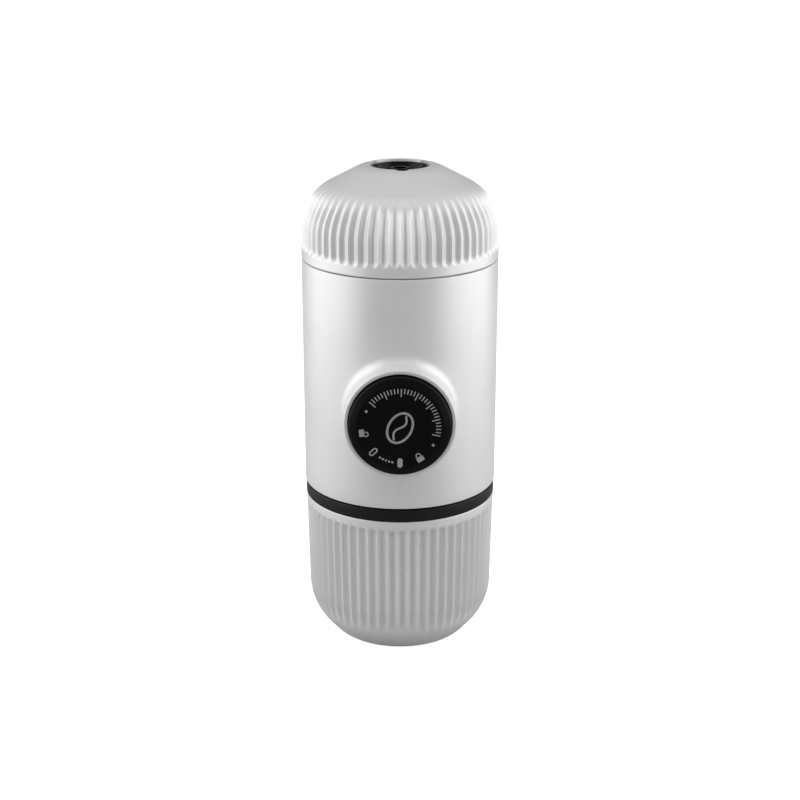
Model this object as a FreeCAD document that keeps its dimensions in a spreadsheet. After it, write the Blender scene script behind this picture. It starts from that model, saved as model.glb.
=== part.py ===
"""Handheld manual espresso maker, standing on its cup.

Millimetres, +Z up. The origin is the centre of the cup's foot, on the axis of the body.
The button faces -Y. From the bottom up: a ribbed cup pushed over the water tank, the tank
with its black collar screwed into the body, the body with a pump lying across it, and a
ribbed outlet head screwed over the brew plate and the filter basket.
"""

import FreeCAD, Part
import math
import os
import re
import Sketcher

Vector = FreeCAD.Vector
Rotation = FreeCAD.Rotation
Placement = FreeCAD.Placement

SIZES = {
    # Whole object
    "shell_radius": 31.0,
    "head_height": 28.85,
    "cup_height": 48.8,
    "collar_height": 4.0,
    "collar_gap": 0.55,
    "body_height": 73.5,
    "seam_gap": 0.3,
    "button_rise": 3.0,
    "pump_stroke": 20.0,
    "lock_turn": 48.0,
    # Cup
    "cup_step": 0.3,
    "cup_wall": 2.0,
    "cup_floor": 2.4,
    "cup_lean": 1.12,
    "cup_cone_angle": 49.0,
    "cup_hip_height": 10.42,
    "cup_hip_round": 18.7,
    "cup_foot_round": 6.6,
    "edge_round": 0.4,
    # Rounded grooves of the two grips
    "groove_count": 60,
    "groove_radius": 0.86,
    "groove_depth": 0.75,
    "groove_end_round": 2.0,
    "groove_end_angle": 55.0,
    "groove_fade": 5.0,
    "groove_lean_back": 0.12,
    "cup_groove_drop": 4.6,
    "cup_groove_sweep": 10.0,
    "cup_groove_phase": 1.4,
    "head_groove_rise": 5.15,
    "head_groove_sweep": 28.0,
    "head_groove_phase": 3.0,
    # Water tank
    "tank_gap": 0.95,
    "tank_wall": 1.8,
    "tank_lift": 2.6,
    "tank_hip_lift": 1.93,
    "tank_hip_round": 14.0,
    "tank_foot_round": 5.0,
    "tank_neck_step": 1.0,
    "tank_neck_rise": 11.2,
    "tank_flange_gap": 0.4,
    "tank_flange_height": 1.0,
    "collar_step": 0.25,
    "grip_height": 6.8,
    "grip_gap": 0.15,
    "tank_gasket_width": 1.6,
    "tank_gasket_height": 2.0,
    # Screw threads of the tank and the head
    "thread_lead": 6.0,
    "thread_depth": 1.0,
    "thread_root": 1.8,
    "thread_tip": 0.8,
    "thread_gap": 0.3,
    "thread_bed": 0.15,
    "socket_thread_end": 0.2,
    "socket_thread_margin": 0.45,
    "tank_thread_end": 0.15,
    "tank_thread_margin": 0.3,
    "head_thread_end": 1.1,
    "head_thread_margin": 0.1,
    "neck_thread_end": 0.3,
    "neck_thread_margin": 0.9,
    # Body shell
    "shell_wall": 2.0,
    "shoulder_drop": 7.85,
    "shoulder_thickness": 2.0,
    "shoulder_width": 3.5,
    "boss_wall": 1.3,
    "boss_height": 6.0,
    "boss_root_round": 3.4,
    "boss_rim_round": 0.5,
    "mark_width": 1.0,
    "mark_rise": 3.95,
    "mark_length": 4.6,
    "mark_depth": 0.3,
    # Inner frame
    "frame_fit": 0.1,
    "frame_floor": 3.0,
    "frame_top_plate": 4.0,
    "barrel_wall": 1.4,
    "pump_wall": 2.0,
    "spring_seat_depth": 6.0,
    "cheek_thickness": 2.5,
    "cheek_overlap": 1.1,
    "cheek_front": 16.0,
    "cheek_back": 8.0,
    # Piston guide, button and lock sleeve
    "button_gap": 0.3,
    "guide_wall": 2.95,
    "guide_length": 28.0,
    "guide_lip": 3.0,
    "boss_clearance": 0.05,
    "button_radius": 15.55,
    "button_thickness": 4.0,
    "button_face": 2.0,
    "button_rim": 1.55,
    "button_bevel_width": 2.35,
    "button_bevel_depth": 1.2,
    "sleeve_gap": 0.2,
    "sleeve_wall": 1.4,
    "sleeve_head_gap": 0.1,
    "sleeve_head_height": 1.7,
    "sleeve_floor": 3.0,
    "lug_height": 1.6,
    "lug_length": 3.0,
    "lug_angle": 24.0,
    "lugs": 2,
    "channel_gap": 0.3,
    "channel_side_angle": 2.0,
    # Piston, pump cylinder and spring
    "rod_radius": 3.5,
    "rod_collar_width": 1.5,
    "rod_collar_height": 3.0,
    "rod_gap": 0.1,
    "clip_width": 1.7,
    "clip_thickness": 0.8,
    "clip_recess_gap": 1.0,
    "clip_recess_depth": 1.2,
    "clip_groove_depth": 0.75,
    "clip_float": 0.05,
    "clip_opening": 3.2,
    "bore_radius": 6.5,
    "cylinder_wall": 1.5,
    "cylinder_mouth": 1.5,
    "cylinder_flange_gap": 0.35,
    "cylinder_flange_height": 1.2,
    "piston_end_gap": 0.5,
    "piston_head_length": 5.0,
    "piston_head_gap": 0.3,
    "seal_wire": 1.1,
    "seal_gap": 0.05,
    "spring_gap": 0.85,
    "spring_wire": 0.55,
    "spring_turns": 11,
    # Valves
    "block_side_wall": 0.9,
    "block_top_wall": 1.5,
    "block_back_wall": 3.5,
    "block_ear_edge": 2.6,
    "block_ear_half_height": 3.2,
    "block_ear_thickness": 4.0,
    "block_screw_gap": 4.1,
    "chamber_depth": 3.5,
    "port_radius": 1.4,
    "port_inset": 1.8,
    "column_radius": 5.0,
    "valve_ball_gap": 0.5,
    "valve_seat_height": 2.0,
    "cage_wall": 1.9,
    "valve_ball_radius": 2.0,
    "inlet_chamber_height": 5.0,
    "outlet_chamber_height": 12.0,
    "bypass_width": 0.8,
    "valve_spring_radius": 1.6,
    "valve_spring_wire": 0.25,
    "valve_spring_turns": 6,
    "strainer_radius": 4.2,
    "strainer_gap": 1.2,
    "strainer_thickness": 0.6,
    "strainer_hole_radius": 0.5,
    "strainer_ring_radius": 2.6,
    "strainer_holes": 10,
    "vent_x": -12.0,
    "vent_y": -10.0,
    "vent_hole_radius": 1.2,
    "vent_cap_radius": 3.0,
    "vent_cap_height": 0.8,
    "vent_barb_radius": 1.9,
    "vent_barb_height": 1.5,
    # Screws
    "small_shank_radius": 1.1,
    "small_head_radius": 1.9,
    "small_head_height": 1.4,
    "screw_hole_gap": 0.2,
    "frame_screws": 4,
    "frame_screw_gap": 2.0,
    "frame_screw_angle": 45.0,
    "frame_screw_grip": 5.5,
    "block_screw_reach": 2.0,
    # Brew plate, screen and gasket
    "brew_flange_height": 5.2,
    "brew_neck_step": 3.9,
    "brew_neck_wall": 2.6,
    "brew_neck_rise": 9.3,
    "brew_well_gap": 1.8,
    "brew_well_depth": 0.8,
    "brew_post_radius": 3.2,
    "brew_port_inset": 3.5,
    "brew_channel_depth": 1.8,
    "screen_gap": 1.0,
    "screen_thickness": 0.4,
    "screen_hole_radius": 0.45,
    "screen_ring_edge": 2.1,
    "screen_rings": 4,
    "screen_screw_radius": 1.4,
    "screen_screw_depth": 4.2,
    "screen_screw_head": 3.2,
    "screen_screw_head_height": 1.5,
    "screen_slot_width": 0.8,
    "screen_slot_depth": 0.6,
    "brew_gasket_height": 2.4,
    "gasket_side_gap": 0.2,
    # Filter basket and outlet head
    "basket_flange_width": 3.1,
    "basket_wall": 0.6,
    "basket_depth": 17.4,
    "basket_flange_gap": 0.5,
    "basket_edge_round": 1.2,
    "basket_hole_radius": 0.45,
    "basket_ring_edge": 2.7,
    "basket_rings": 5,
    "holes_per_ring": 6,
    "head_slope": 27.8,
    "head_lip_width": 2.4626,
    "head_hip_round": 15.6,
    "head_lip_round": 9.8,
    "head_wall": 2.1,
    "outlet_radius": 9.4,
    "notch_radius": 2.1,
    "notch_inset": 0.6,
    "notch_phase": 4.0,
    "notches": 3,
    "holder_fit": 0.05,
    "holder_base_gap": 0.35,
    "holder_skirt_gap": 0.3,
    "holder_neck_gap": 0.5,
    "holder_top_wall": 3.3,
    "holder_step": 1.35,
    "holder_crown_gap": 0.6,
    "nozzle_gap": 0.05,
    "nozzle_rim_gap": 0.15,
    "nozzle_sink": 0.7,
    "nozzle_rim_width": 0.95,
    "nozzle_floor": 1.2,
    "nozzle_dish_slope": 1.3,
    "spout_bore": 2.0,
    "spout_radius": 3.2,
    "spout_sink": 1.1,
    "web_thickness": 1.0,
    "web_height": 1.8,
    "web_root": 0.45,
    "webs": 3,
}

# Sizes that follow from the ones above, so that neighbouring pieces meet
FITS = {
    "body_base": "cup_height + collar_height + collar_gap",
    "body_top": "body_base + body_height",
    "head_base": "body_top + seam_gap",
    "total_height": "head_base + head_height",
    "body_bore": "shell_radius - shell_wall",
    "frame_radius": "body_bore - frame_fit",
    "collar_top": "cup_height + collar_height",
    "collar_radius": "shell_radius - collar_step",
    # Cup wall: a leaning side, a cone and a flat foot
    "cup_rim_radius": "shell_radius - cup_step",
    "cup_hip_radius": "cup_rim_radius - (cup_height - cup_hip_height) * tan(cup_lean)",
    "cup_foot_radius": "cup_hip_radius - cup_hip_height / tan(cup_cone_angle)",
    "cup_bore_rim": "cup_rim_radius - cup_wall",
    "cup_bore_hip": "cup_hip_radius - cup_wall",
    "cup_bore_hip_height": "cup_hip_height + cup_wall * tan((90 - cup_cone_angle) / 2)",
    "cup_bore_foot": "cup_bore_hip - (cup_bore_hip_height - cup_floor) / tan(cup_cone_angle)",
    "cup_groove_top": "cup_height - cup_groove_drop",
    # Tank wall follows the cup at its own radius
    "tank_radius": "cup_bore_hip - tank_gap",
    "tank_base": "cup_floor + tank_lift",
    "tank_hip_height": "cup_bore_hip_height + tank_hip_lift",
    "tank_foot_radius": "tank_radius - (tank_hip_height - tank_base) / tan(cup_cone_angle)",
    "tank_bore": "tank_radius - tank_wall",
    "tank_bore_hip_height": "tank_hip_height + tank_wall * tan((90 - cup_cone_angle) / 2)",
    "tank_floor_top": "tank_base + tank_wall",
    "tank_bore_foot": "tank_bore - (tank_bore_hip_height - tank_floor_top) / tan(cup_cone_angle)",
    "tank_neck_radius": "tank_radius - tank_neck_step",
    "tank_neck_bore": "tank_neck_radius - tank_wall",
    "tank_neck_top": "cup_height + tank_neck_rise",
    "tank_flange_radius": "cup_bore_rim - tank_flange_gap",
    "tank_flange_base": "cup_height - tank_flange_height",
    "tank_bore_step": "tank_flange_base - (tank_bore - tank_neck_bore)",
    "grip_base": "tank_flange_base - grip_height",
    "grip_top_radius": "cup_bore_rim - tank_flange_height * tan(cup_lean) - grip_gap",
    "grip_base_radius": "grip_top_radius - grip_height * tan(cup_lean)",
    "socket_bore": "tank_neck_radius + thread_depth + thread_gap",
    "socket_top": "tank_neck_top + tank_gasket_height",
    "floor_top": "socket_top + frame_floor",
    "socket_thread_base": "body_base + thread_root / 2 + socket_thread_margin",
    "socket_thread_height": "socket_top - socket_thread_base - thread_root / 2 - socket_thread_end",
    "tank_thread_base": "body_base + thread_root / 2 + 2 * tank_thread_margin",
    "tank_thread_height": "tank_neck_top - tank_thread_base - thread_root / 2 - tank_thread_end",
    "frame_base": "body_base + tank_thread_margin",
    # Inner frame and pump, in the pump's own frame: +z outwards, 0 on the body's axis
    "shoulder_height": "body_top - shoulder_drop",
    "shoulder_top": "shoulder_height + shoulder_thickness",
    "shoulder_radius": "body_bore - shoulder_width",
    "pump_height": "inlet_roof + cage_wall + block_half_height",
    "boss_reach": "shell_radius + boss_height",
    "button_reach": "boss_reach + button_rise",
    "guide_radius": "button_radius + button_gap",
    "guide_bore": "guide_radius - guide_wall",
    "guide_front": "button_reach - button_thickness",
    "guide_back": "guide_front - guide_length",
    "boss_bore": "guide_radius + boss_clearance",
    "boss_radius": "boss_bore + boss_wall",
    "mark_base": "body_base + mark_rise",
    "barrel_radius": "guide_radius + barrel_wall",
    "wall_back_depth": "spring_seat_depth + pump_wall",
    "lug_front": "guide_front - guide_lip - pump_stroke",
    "sleeve_back": "lug_front - lug_length",
    "sleeve_radius": "guide_bore - sleeve_gap",
    "sleeve_head_radius": "button_radius - button_rim - sleeve_head_gap",
    "lug_radius": "sleeve_radius + lug_height",
    "channel_radius": "lug_radius + channel_gap",
    "channel_angle": "lug_angle + lock_turn + 2 * channel_side_angle",
    "button_back_face": "button_reach - button_face",
    "sleeve_head_base": "button_back_face - sleeve_head_height",
    "sleeve_floor_back": "button_back_face - sleeve_floor",
    "clip_recess_floor": "button_back_face - clip_recess_depth",
    "clip_back": "clip_recess_floor + clip_float",
    "clip_radius": "rod_radius + clip_width",
    "clip_recess_radius": "clip_radius + clip_recess_gap",
    "clip_groove_radius": "rod_radius - clip_groove_depth",
    "rod_collar_radius": "rod_radius + rod_collar_width",
    "spring_radius": "sleeve_radius - sleeve_wall - spring_wire - spring_gap",
    "port_offset": "tank_neck_bore - strainer_radius - strainer_gap",
    "cylinder_end_depth": "port_offset - port_inset",
    "rod_back": "-cylinder_end_depth + piston_end_gap",
    "piston_head_front": "rod_back + piston_head_length",
    "piston_head_radius": "bore_radius - piston_head_gap",
    "seal_height": "rod_back + piston_head_length / 2",
    "seal_groove_radius": "bore_radius - seal_gap - 2 * seal_wire",
    "cylinder_radius": "bore_radius + cylinder_wall",
    "cylinder_flange_radius": "spring_radius - spring_wire - cylinder_flange_gap",
    "cylinder_front": "piston_head_front + pump_stroke + cylinder_mouth",
    # Valve columns beside the body's axis
    "block_half_width": "cylinder_radius + block_side_wall",
    "block_half_height": "cylinder_radius + block_top_wall",
    "block_back_depth": "cylinder_end_depth + chamber_depth + block_back_wall",
    "block_screw_offset": "block_half_width + block_screw_gap",
    "block_ear_reach": "block_screw_offset + block_ear_edge",
    "block_base": "pump_height - block_half_height",
    "block_top": "pump_height + block_half_height",
    "frame_plate_base": "shoulder_height - frame_top_plate",
    "frame_screw_place": "frame_screw_offset * cos(frame_screw_angle)",
    "inlet_seat": "floor_top + valve_seat_height",
    "inlet_roof": "inlet_seat + inlet_chamber_height",
    "outlet_seat": "block_top + valve_seat_height",
    "outlet_roof": "outlet_seat + outlet_chamber_height",
    "valve_chamber_radius": "valve_ball_radius + valve_ball_gap",
    "ball_rise": "sqrt(valve_ball_radius ^ 2 - port_radius ^ 2)",
    # Brew plate and basket
    "brew_floor": "shoulder_top + brew_flange_height",
    "brew_neck_radius": "frame_radius - brew_neck_step",
    "brew_neck_bore": "brew_neck_radius - brew_neck_wall",
    "brew_neck_top": "brew_floor + brew_neck_rise",
    "frame_screw_offset": "brew_neck_bore - frame_screw_gap",
    "brew_well_radius": "frame_screw_offset - small_head_radius - screw_hole_gap - brew_well_gap",
    "brew_port_offset": "brew_well_radius - brew_port_inset",
    "brew_thread_base": "brew_floor + thread_root / 2 + neck_thread_margin",
    "neck_thread_height": "brew_neck_top - brew_thread_base - thread_root / 2 - neck_thread_end",
    "screen_top": "brew_floor + screen_thickness",
    "screen_radius": "basket_radius - screen_gap",
    "screen_ring_pitch": "(brew_well_radius - screen_ring_edge) / screen_rings",
    "brew_gasket_outer": "brew_neck_bore - gasket_side_gap",
    "basket_base": "brew_floor + brew_gasket_height",
    "basket_top": "basket_base + basket_depth",
    "basket_flange_radius": "brew_neck_bore - basket_flange_gap",
    "basket_radius": "basket_flange_radius - basket_flange_width",
    "basket_bore": "basket_radius - basket_wall",
    "basket_ring_pitch": "(basket_bore - basket_ring_edge) / basket_rings",
    # Outlet head: the black holder repeats the white shell's inside
    "head_lip_corner": "outlet_radius + head_lip_width",
    "head_hip_height": "total_height - (shell_radius - head_lip_corner) * tan(head_slope)",
    "head_groove_base": "head_base + head_groove_rise",
    "notch_offset": "outlet_radius - notch_inset",
    "head_bore": "shell_radius - head_wall",
    "head_bore_hip_height": "head_hip_height - head_wall * tan((90 - head_slope) / 2)",
    "head_bore_lip": "head_lip_corner - head_wall * tan(head_slope / 2)",
    "head_bore_top": "total_height - head_wall",
    "holder_inset": "head_wall + holder_fit",
    "holder_radius": "shell_radius - holder_inset",
    "holder_hip_height": "head_hip_height - holder_inset * tan((90 - head_slope) / 2)",
    "holder_lip": "head_lip_corner - holder_inset * tan(head_slope / 2) - holder_fit / tan(head_slope)",
    "holder_base": "head_base + holder_base_gap",
    "holder_bore": "brew_neck_radius + thread_depth + thread_gap",
    "holder_skirt_bore": "basket_radius + holder_skirt_gap",
    "holder_neck_roof": "brew_neck_top + holder_neck_gap",
    "holder_crown": "basket_top + holder_crown_gap",
    "holder_funnel_top": "head_bore_top - holder_top_wall",
    "head_thread_base": "holder_base + thread_root / 2 + head_thread_margin",
    "head_thread_height": "holder_neck_roof - head_thread_base - thread_root / 2 - head_thread_end",
    "holder_outlet": "outlet_radius - holder_step",
    "nozzle_radius": "holder_outlet - nozzle_gap",
    "nozzle_rim_radius": "outlet_radius - nozzle_rim_gap",
    "nozzle_dish_radius": "nozzle_rim_radius - nozzle_rim_width - nozzle_dish_slope",
    "nozzle_rim_top": "total_height - nozzle_sink",
    "nozzle_floor_top": "holder_funnel_top + nozzle_floor",
}

# Lengths closer than this count as the same
SAME = 1e-4

doc = FreeCAD.newDocument("espresso_maker")
sheet = doc.addObject("Spreadsheet::Sheet", "dims")
work = doc.addObject("Spreadsheet::Sheet", "work")
for row, (name, number) in enumerate(SIZES.items(), start=1):
    sheet.set(f"A{row}", name)
    sheet.set(f"B{row}", str(number))
    sheet.setAlias(f"B{row}", name)
doc.recompute()

nodes = []


def formula(text):
    """Spell out a size formula so that every name in it points at a cell of the sheet."""

    def spell(match):
        word = match.group()
        if word in SIZES:
            return "dims." + word
        if word in FITS:
            return "(" + formula(FITS[word]) + ")"
        return word

    return re.sub(r"[a-z][a-z_0-9]*", spell, str(text))


def size(text):
    """The number that a size formula stands for."""
    work.set("A1", "=" + formula(text))
    work.recompute()
    return float(work.get("A1"))


def bind(thing, path, text):
    thing.setExpression(path, formula(text))


def new_body(label, height="0", offset_x="0", offset_y="0", spin="0", across=False):
    """A body of its own. Across turns its z axis to point out of the button, along -Y."""
    body = doc.addObject("PartDesign::Body", label)
    body.Label = label
    turn = Rotation(Vector(1, 0, 0), 90) if across else Rotation()
    turn = turn * Rotation(Vector(0, 0, 1), size(spin))
    body.Placement = Placement(Vector(size(offset_x), size(offset_y), size(height)), turn)
    bind(body, "Placement.Base.x", offset_x)
    bind(body, "Placement.Base.y", offset_y)
    bind(body, "Placement.Base.z", height)
    nodes.append(body)
    return body


def on_plane(body, sketch, role, raised="0", spin="0"):
    """Lay a sketch on one of the body's planes, raised off it and spun about the sketch's own y axis."""
    plane = [item for item in body.Origin.OriginFeatures if item.Role == role][0]
    sketch.AttachmentSupport = [(plane, "")]
    sketch.MapMode = "FlatFace"
    sketch.AttachmentOffset = Placement(Vector(0, 0, size(raised)), Rotation(Vector(0, 1, 0), size(spin)))
    bind(sketch, "AttachmentOffset.Base.z", raised)


def pin_point(sketch, line, end, corner):
    """Hold one end of a line or arc at a pair of size formulas."""
    across, up = corner
    for kind, axis, text in (("DistanceX", -2, across), ("DistanceY", -1, up)):
        if text == "0":
            sketch.addConstraint(Sketcher.Constraint("PointOnObject", line, end, axis))
        else:
            index = sketch.addConstraint(Sketcher.Constraint(kind, -1, 1, line, end, size(text)))
            bind(sketch, f"Constraints[{index}]", text)


def draw(sketch, corners, arcs, closed):
    """Lines and arcs through corners. arcs maps a stretch to (radius, side): +1 turns left, -1 right."""
    points = [Vector(size(across), size(up), 0) for across, up in corners]
    count = len(points)
    stretches = count if closed else count - 1
    for i in range(stretches):
        first = points[i]
        last = points[(i + 1) % count]
        if i not in arcs:
            sketch.addGeometry(Part.LineSegment(first, last))
            continue
        radius = size(arcs[i][0])
        chord = last - first
        rise = radius - math.sqrt(radius * radius - chord.Length * chord.Length / 4)
        side = Vector(chord.y, -chord.x, 0).normalize() * arcs[i][1]
        sketch.addGeometry(Part.Arc(first, (first + last) * 0.5 + side * rise, last))

    def near_end(i):
        return 2 if i in arcs and arcs[i][1] < 0 else 1

    for i in range(stretches if closed else stretches - 1):
        there = (i + 1) % count
        sketch.addConstraint(Sketcher.Constraint("Coincident", i, 3 - near_end(i), there, near_end(there)))
    for i, corner in enumerate(corners):
        if i < stretches:
            pin_point(sketch, i, near_end(i), corner)
        else:
            pin_point(sketch, i - 1, 3 - near_end(i - 1), corner)
    for i, (radius, side) in arcs.items():
        index = sketch.addConstraint(Sketcher.Constraint("Radius", i, size(radius)))
        bind(sketch, f"Constraints[{index}]", radius)


def outline(body, name, corners, role="XZ_Plane", raised="0", spin="0", arcs=None):
    """A closed outline through corners given as (across, up) formulas."""
    sketch = body.newObject("Sketcher::SketchObject", name)
    on_plane(body, sketch, role, raised, spin)
    draw(sketch, corners, arcs or {}, True)
    return sketch


def open_path(body, name, corners, spin, arcs):
    """An open path in the upright plane, spun about the body's own z axis."""
    sketch = body.newObject("Sketcher::SketchObject", name)
    on_plane(body, sketch, "XZ_Plane", spin=spin)
    draw(sketch, corners, arcs, False)
    return sketch


def circles(body, name, role, centres, radius, raised="0"):
    """Circles of one radius about centres given as (across, up) formulas."""
    sketch = body.newObject("Sketcher::SketchObject", name)
    on_plane(body, sketch, role, raised)
    for i, centre in enumerate(centres):
        middle = Vector(size(centre[0]), size(centre[1]), 0)
        sketch.addGeometry(Part.Circle(middle, Vector(0, 0, 1), size(radius)))
        pin_point(sketch, i, 3, centre)
        index = sketch.addConstraint(Sketcher.Constraint("Radius", i, size(radius)))
        bind(sketch, f"Constraints[{index}]", radius)
    return sketch


def feature(body, kind, name, profile):
    made = body.newObject("PartDesign::" + kind, name)
    made.Profile = profile
    return made


def finish(body, made, cuts=False):
    """Work a feature out, and see that a cut takes something away and an addition adds."""
    before = made.BaseFeature.Shape.Volume if made.BaseFeature else 0
    doc.recompute()
    change = made.Shape.Volume - before
    if (change >= 0) if cuts else (change <= 0):
        raise ValueError(f"{body.Label}: {made.Label} changes the volume by {change:.3f}")
    return made


def turned(body, name, corners, angle=None, cuts=False, arcs=None):
    """A turned piece or a turned cut, about the body's own z axis."""
    profile = outline(body, name + "_profile", corners, arcs=arcs)
    made = feature(body, "Groove" if cuts else "Revolution", name, profile)
    made.ReferenceAxis = (profile, ["V_Axis"])
    if angle is None:
        made.Angle = 360
    else:
        made.Midplane = True
        bind(made, "Angle", angle)
    return finish(body, made, cuts)


def raised_block(body, name, profile, length, flip=False):
    made = feature(body, "Pad", name, profile)
    made.Reversed = flip
    bind(made, "Length", length)
    return finish(body, made)


def sunk(body, name, profile, length, flip=False):
    made = feature(body, "Pocket", name, profile)
    made.Reversed = flip
    bind(made, "Length", length)
    return finish(body, made, cuts=True)


def around(body, name, original, sketch, count, axis="V_Axis"):
    """Repeat a feature about the body's own z axis, given as an axis of one of its sketches."""
    made = body.newObject("PartDesign::PolarPattern", name)
    made.Originals = [original]
    made.Axis = (sketch, [axis])
    made.Angle = 360
    bind(made, "Occurrences", count)
    body.Tip = made
    doc.recompute()
    return made


def ring_edges(shape, rings):
    """Names of the round edges that lie at given (radius, height) places."""
    found = []
    for radius, height in rings:
        radius = size(radius)
        height = size(height)
        for number, edge in enumerate(shape.Edges, start=1):
            curve = edge.Curve
            if not isinstance(curve, Part.Circle):
                continue
            if abs(curve.Radius - radius) < SAME and abs(curve.Center.z - height) < SAME:
                found.append(f"Edge{number}")
    return found


def rounded(body, name, rings, radius):
    """Round the edges of a turned piece at given (radius, height) places."""
    base = body.Tip
    made = body.newObject("PartDesign::Fillet", name)
    made.Base = (base, ring_edges(base.Shape, rings))
    bind(made, "Radius", radius)
    doc.recompute()
    return made


def thread(body, name, wall, height, rise, start="0", inward=False):
    """A helical ridge on a round wall, on the outside or inwards on the inside."""
    root = f"{wall} + thread_bed" if inward else f"{wall} - thread_bed"
    tip = f"{wall} - thread_depth" if inward else f"{wall} + thread_depth"
    corners = [
        (root, f"{height} - thread_root / 2"),
        (root, f"{height} + thread_root / 2"),
        (tip, f"{height} + thread_tip / 2"),
        (tip, f"{height} - thread_tip / 2"),
    ]
    profile = outline(body, name + "_profile", corners, spin=start)
    made = feature(body, "AdditiveHelix", name, profile)
    made.ReferenceAxis = (profile, ["V_Axis"])
    made.Mode = 0
    bind(made, "Pitch", "thread_lead")
    bind(made, "Height", rise)
    return finish(body, made)


def coil(label, radius, wire, turns, low, high, place):
    """A coil spring: one tube swept along quarter turns, each made of two arcs that meet smoothly."""
    radius, wire, turns, low, high = (size(text) for text in (radius, wire, turns, low, high))
    quarters = 4 * int(round(turns))
    climb = (high - low) / quarters
    slant = math.atan2(climb, radius * math.pi / 2)

    def point(quarter):
        angle = quarter * math.pi / 2
        return Vector(radius * math.cos(angle), radius * math.sin(angle), low + climb * quarter)

    def heading(quarter):
        angle = quarter * math.pi / 2
        flat = Vector(-math.sin(angle), math.cos(angle), 0) * math.cos(slant)
        return flat + Vector(0, 0, math.sin(slant))

    edges = []
    for quarter in range(quarters):
        first, last = point(quarter), point(quarter + 1)
        away, back = heading(quarter), heading(quarter + 1)
        chord = last - first
        both = away + back
        squared = 2 * (1 - away.dot(back))
        reach = (-chord.dot(both) + math.sqrt(chord.dot(both) ** 2 + squared * chord.dot(chord))) / squared
        joint = (first + away * reach + last - back * reach) * 0.5
        for start, stop, tangent, sign in ((first, joint, away, 1), (joint, last, back, -1)):
            span = stop - start
            lean = span.normalize().dot(tangent)
            bend = 2 * math.acos(min(1.0, lean))
            bow = (span * lean - tangent) * sign
            rise = (stop - start).Length / 2 * math.tan(bend / 4)
            middle = (start + stop) * 0.5 - bow.normalize() * rise
            edges.append(Part.Arc(start, middle, stop).toShape())
    path = Part.Wire(edges)
    ring = Part.Wire(Part.Circle(point(0), heading(0), wire).toShape())
    tube = path.makePipeShell([ring], True, False)
    spring = doc.addObject("Part::Feature", label)
    spring.Label = label
    spring.Shape = tube
    spring.Placement = place
    print(f"{label}: gap between turns {4 * climb * math.cos(slant) - 2 * wire:.2f} mm")
    nodes.append(spring)
    return spring


def add_cup():
    body = new_body("portable_cup")
    turned(body, "cup_outside", [
        ("0", "0"),
        ("cup_foot_radius", "0"),
        ("cup_hip_radius", "cup_hip_height"),
        ("cup_rim_radius", "cup_height"),
        ("0", "cup_height"),
    ])
    rounded(body, "hip_round", [("cup_hip_radius", "cup_hip_height")], "cup_hip_round")
    rounded(body, "foot_round", [("cup_foot_radius", "0")], "cup_foot_round")
    turned(body, "cup_inside", [
        ("0", "cup_floor"),
        ("cup_bore_foot", "cup_floor"),
        ("cup_bore_hip", "cup_bore_hip_height"),
        ("cup_bore_rim", "cup_height"),
        ("0", "cup_height"),
    ], cuts=True)
    rounded(body, "inner_hip_round", [("cup_bore_hip", "cup_bore_hip_height")], "cup_hip_round - cup_wall")
    rounded(body, "inner_foot_round", [("cup_bore_foot", "cup_floor")], "cup_foot_round - cup_wall")
    rims = [("cup_rim_radius", "cup_height"), ("cup_bore_rim", "cup_height")]
    rounded(body, "rim_round", rims, "edge_round")
    # The groove's path runs just outside the wall, so its tube cuts groove_depth into it
    inset = "(groove_radius - groove_depth)"
    touch = "(cup_hip_round * tan((90 - cup_cone_angle - cup_lean) / 2))"
    centre_r = f"(cup_hip_radius + {touch} * sin(cup_lean) - cup_hip_round * cos(cup_lean))"
    centre_z = f"(cup_hip_height + {touch} * cos(cup_lean) + cup_hip_round * sin(cup_lean))"
    path_round = f"(cup_hip_round + {inset})"
    lean = "(cup_lean - groove_lean_back)"
    low = "(cup_lean + cup_groove_sweep)"
    high = f"({lean} + groove_end_angle)"
    wall_foot = (
        f"({centre_r} + {path_round} * cos(cup_lean))",
        f"({centre_z} - {path_round} * sin(cup_lean))",
    )
    wall_head = (f"({wall_foot[0]} + (cup_groove_top - {wall_foot[1]}) * tan{lean})", "cup_groove_top")
    bend_end = (f"({centre_r} + {path_round} * cos{low})", f"({centre_z} - {path_round} * sin{low})")
    grooves(body, [
        (f"{wall_head[0]} + groove_end_round * (cos{lean} - cos{high})",
         f"{wall_head[1]} - groove_end_round * (sin{lean} - sin{high})"),
        wall_head,
        wall_foot,
        bend_end,
        (f"{bend_end[0]} - groove_fade * sin{low}", f"{bend_end[1]} - groove_fade * cos{low}"),
    ], {0: ("groove_end_round", 1), 2: (path_round, -1)}, "cup_groove_phase")


def grooves(body, corners, arcs, phase):
    """Cut the grip's rounded grooves along one path, all round the body."""
    spine = open_path(body, "groove_path", corners, f"{phase} - 90", arcs)
    profile = body.newObject("Sketcher::SketchObject", "groove_profile")
    doc.recompute()
    profile.AttachmentSupport = [(spine, "Edge1")]
    profile.MapMode = "NormalToEdge"
    profile.MapReversed = False
    profile.addGeometry(Part.Circle(Vector(), Vector(0, 0, 1), size("groove_radius")))
    profile.addConstraint(Sketcher.Constraint("Coincident", 0, 3, -1, 1))
    index = profile.addConstraint(Sketcher.Constraint("Radius", 0, size("groove_radius")))
    bind(profile, f"Constraints[{index}]", "groove_radius")
    made = feature(body, "SubtractivePipe", "groove", profile)
    made.Spine = (spine, [f"Edge{i}" for i in range(1, len(spine.Shape.Edges) + 1)])
    finish(body, made, cuts=True)
    around(body, "grip_grooves", made, spine, "groove_count")


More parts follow.
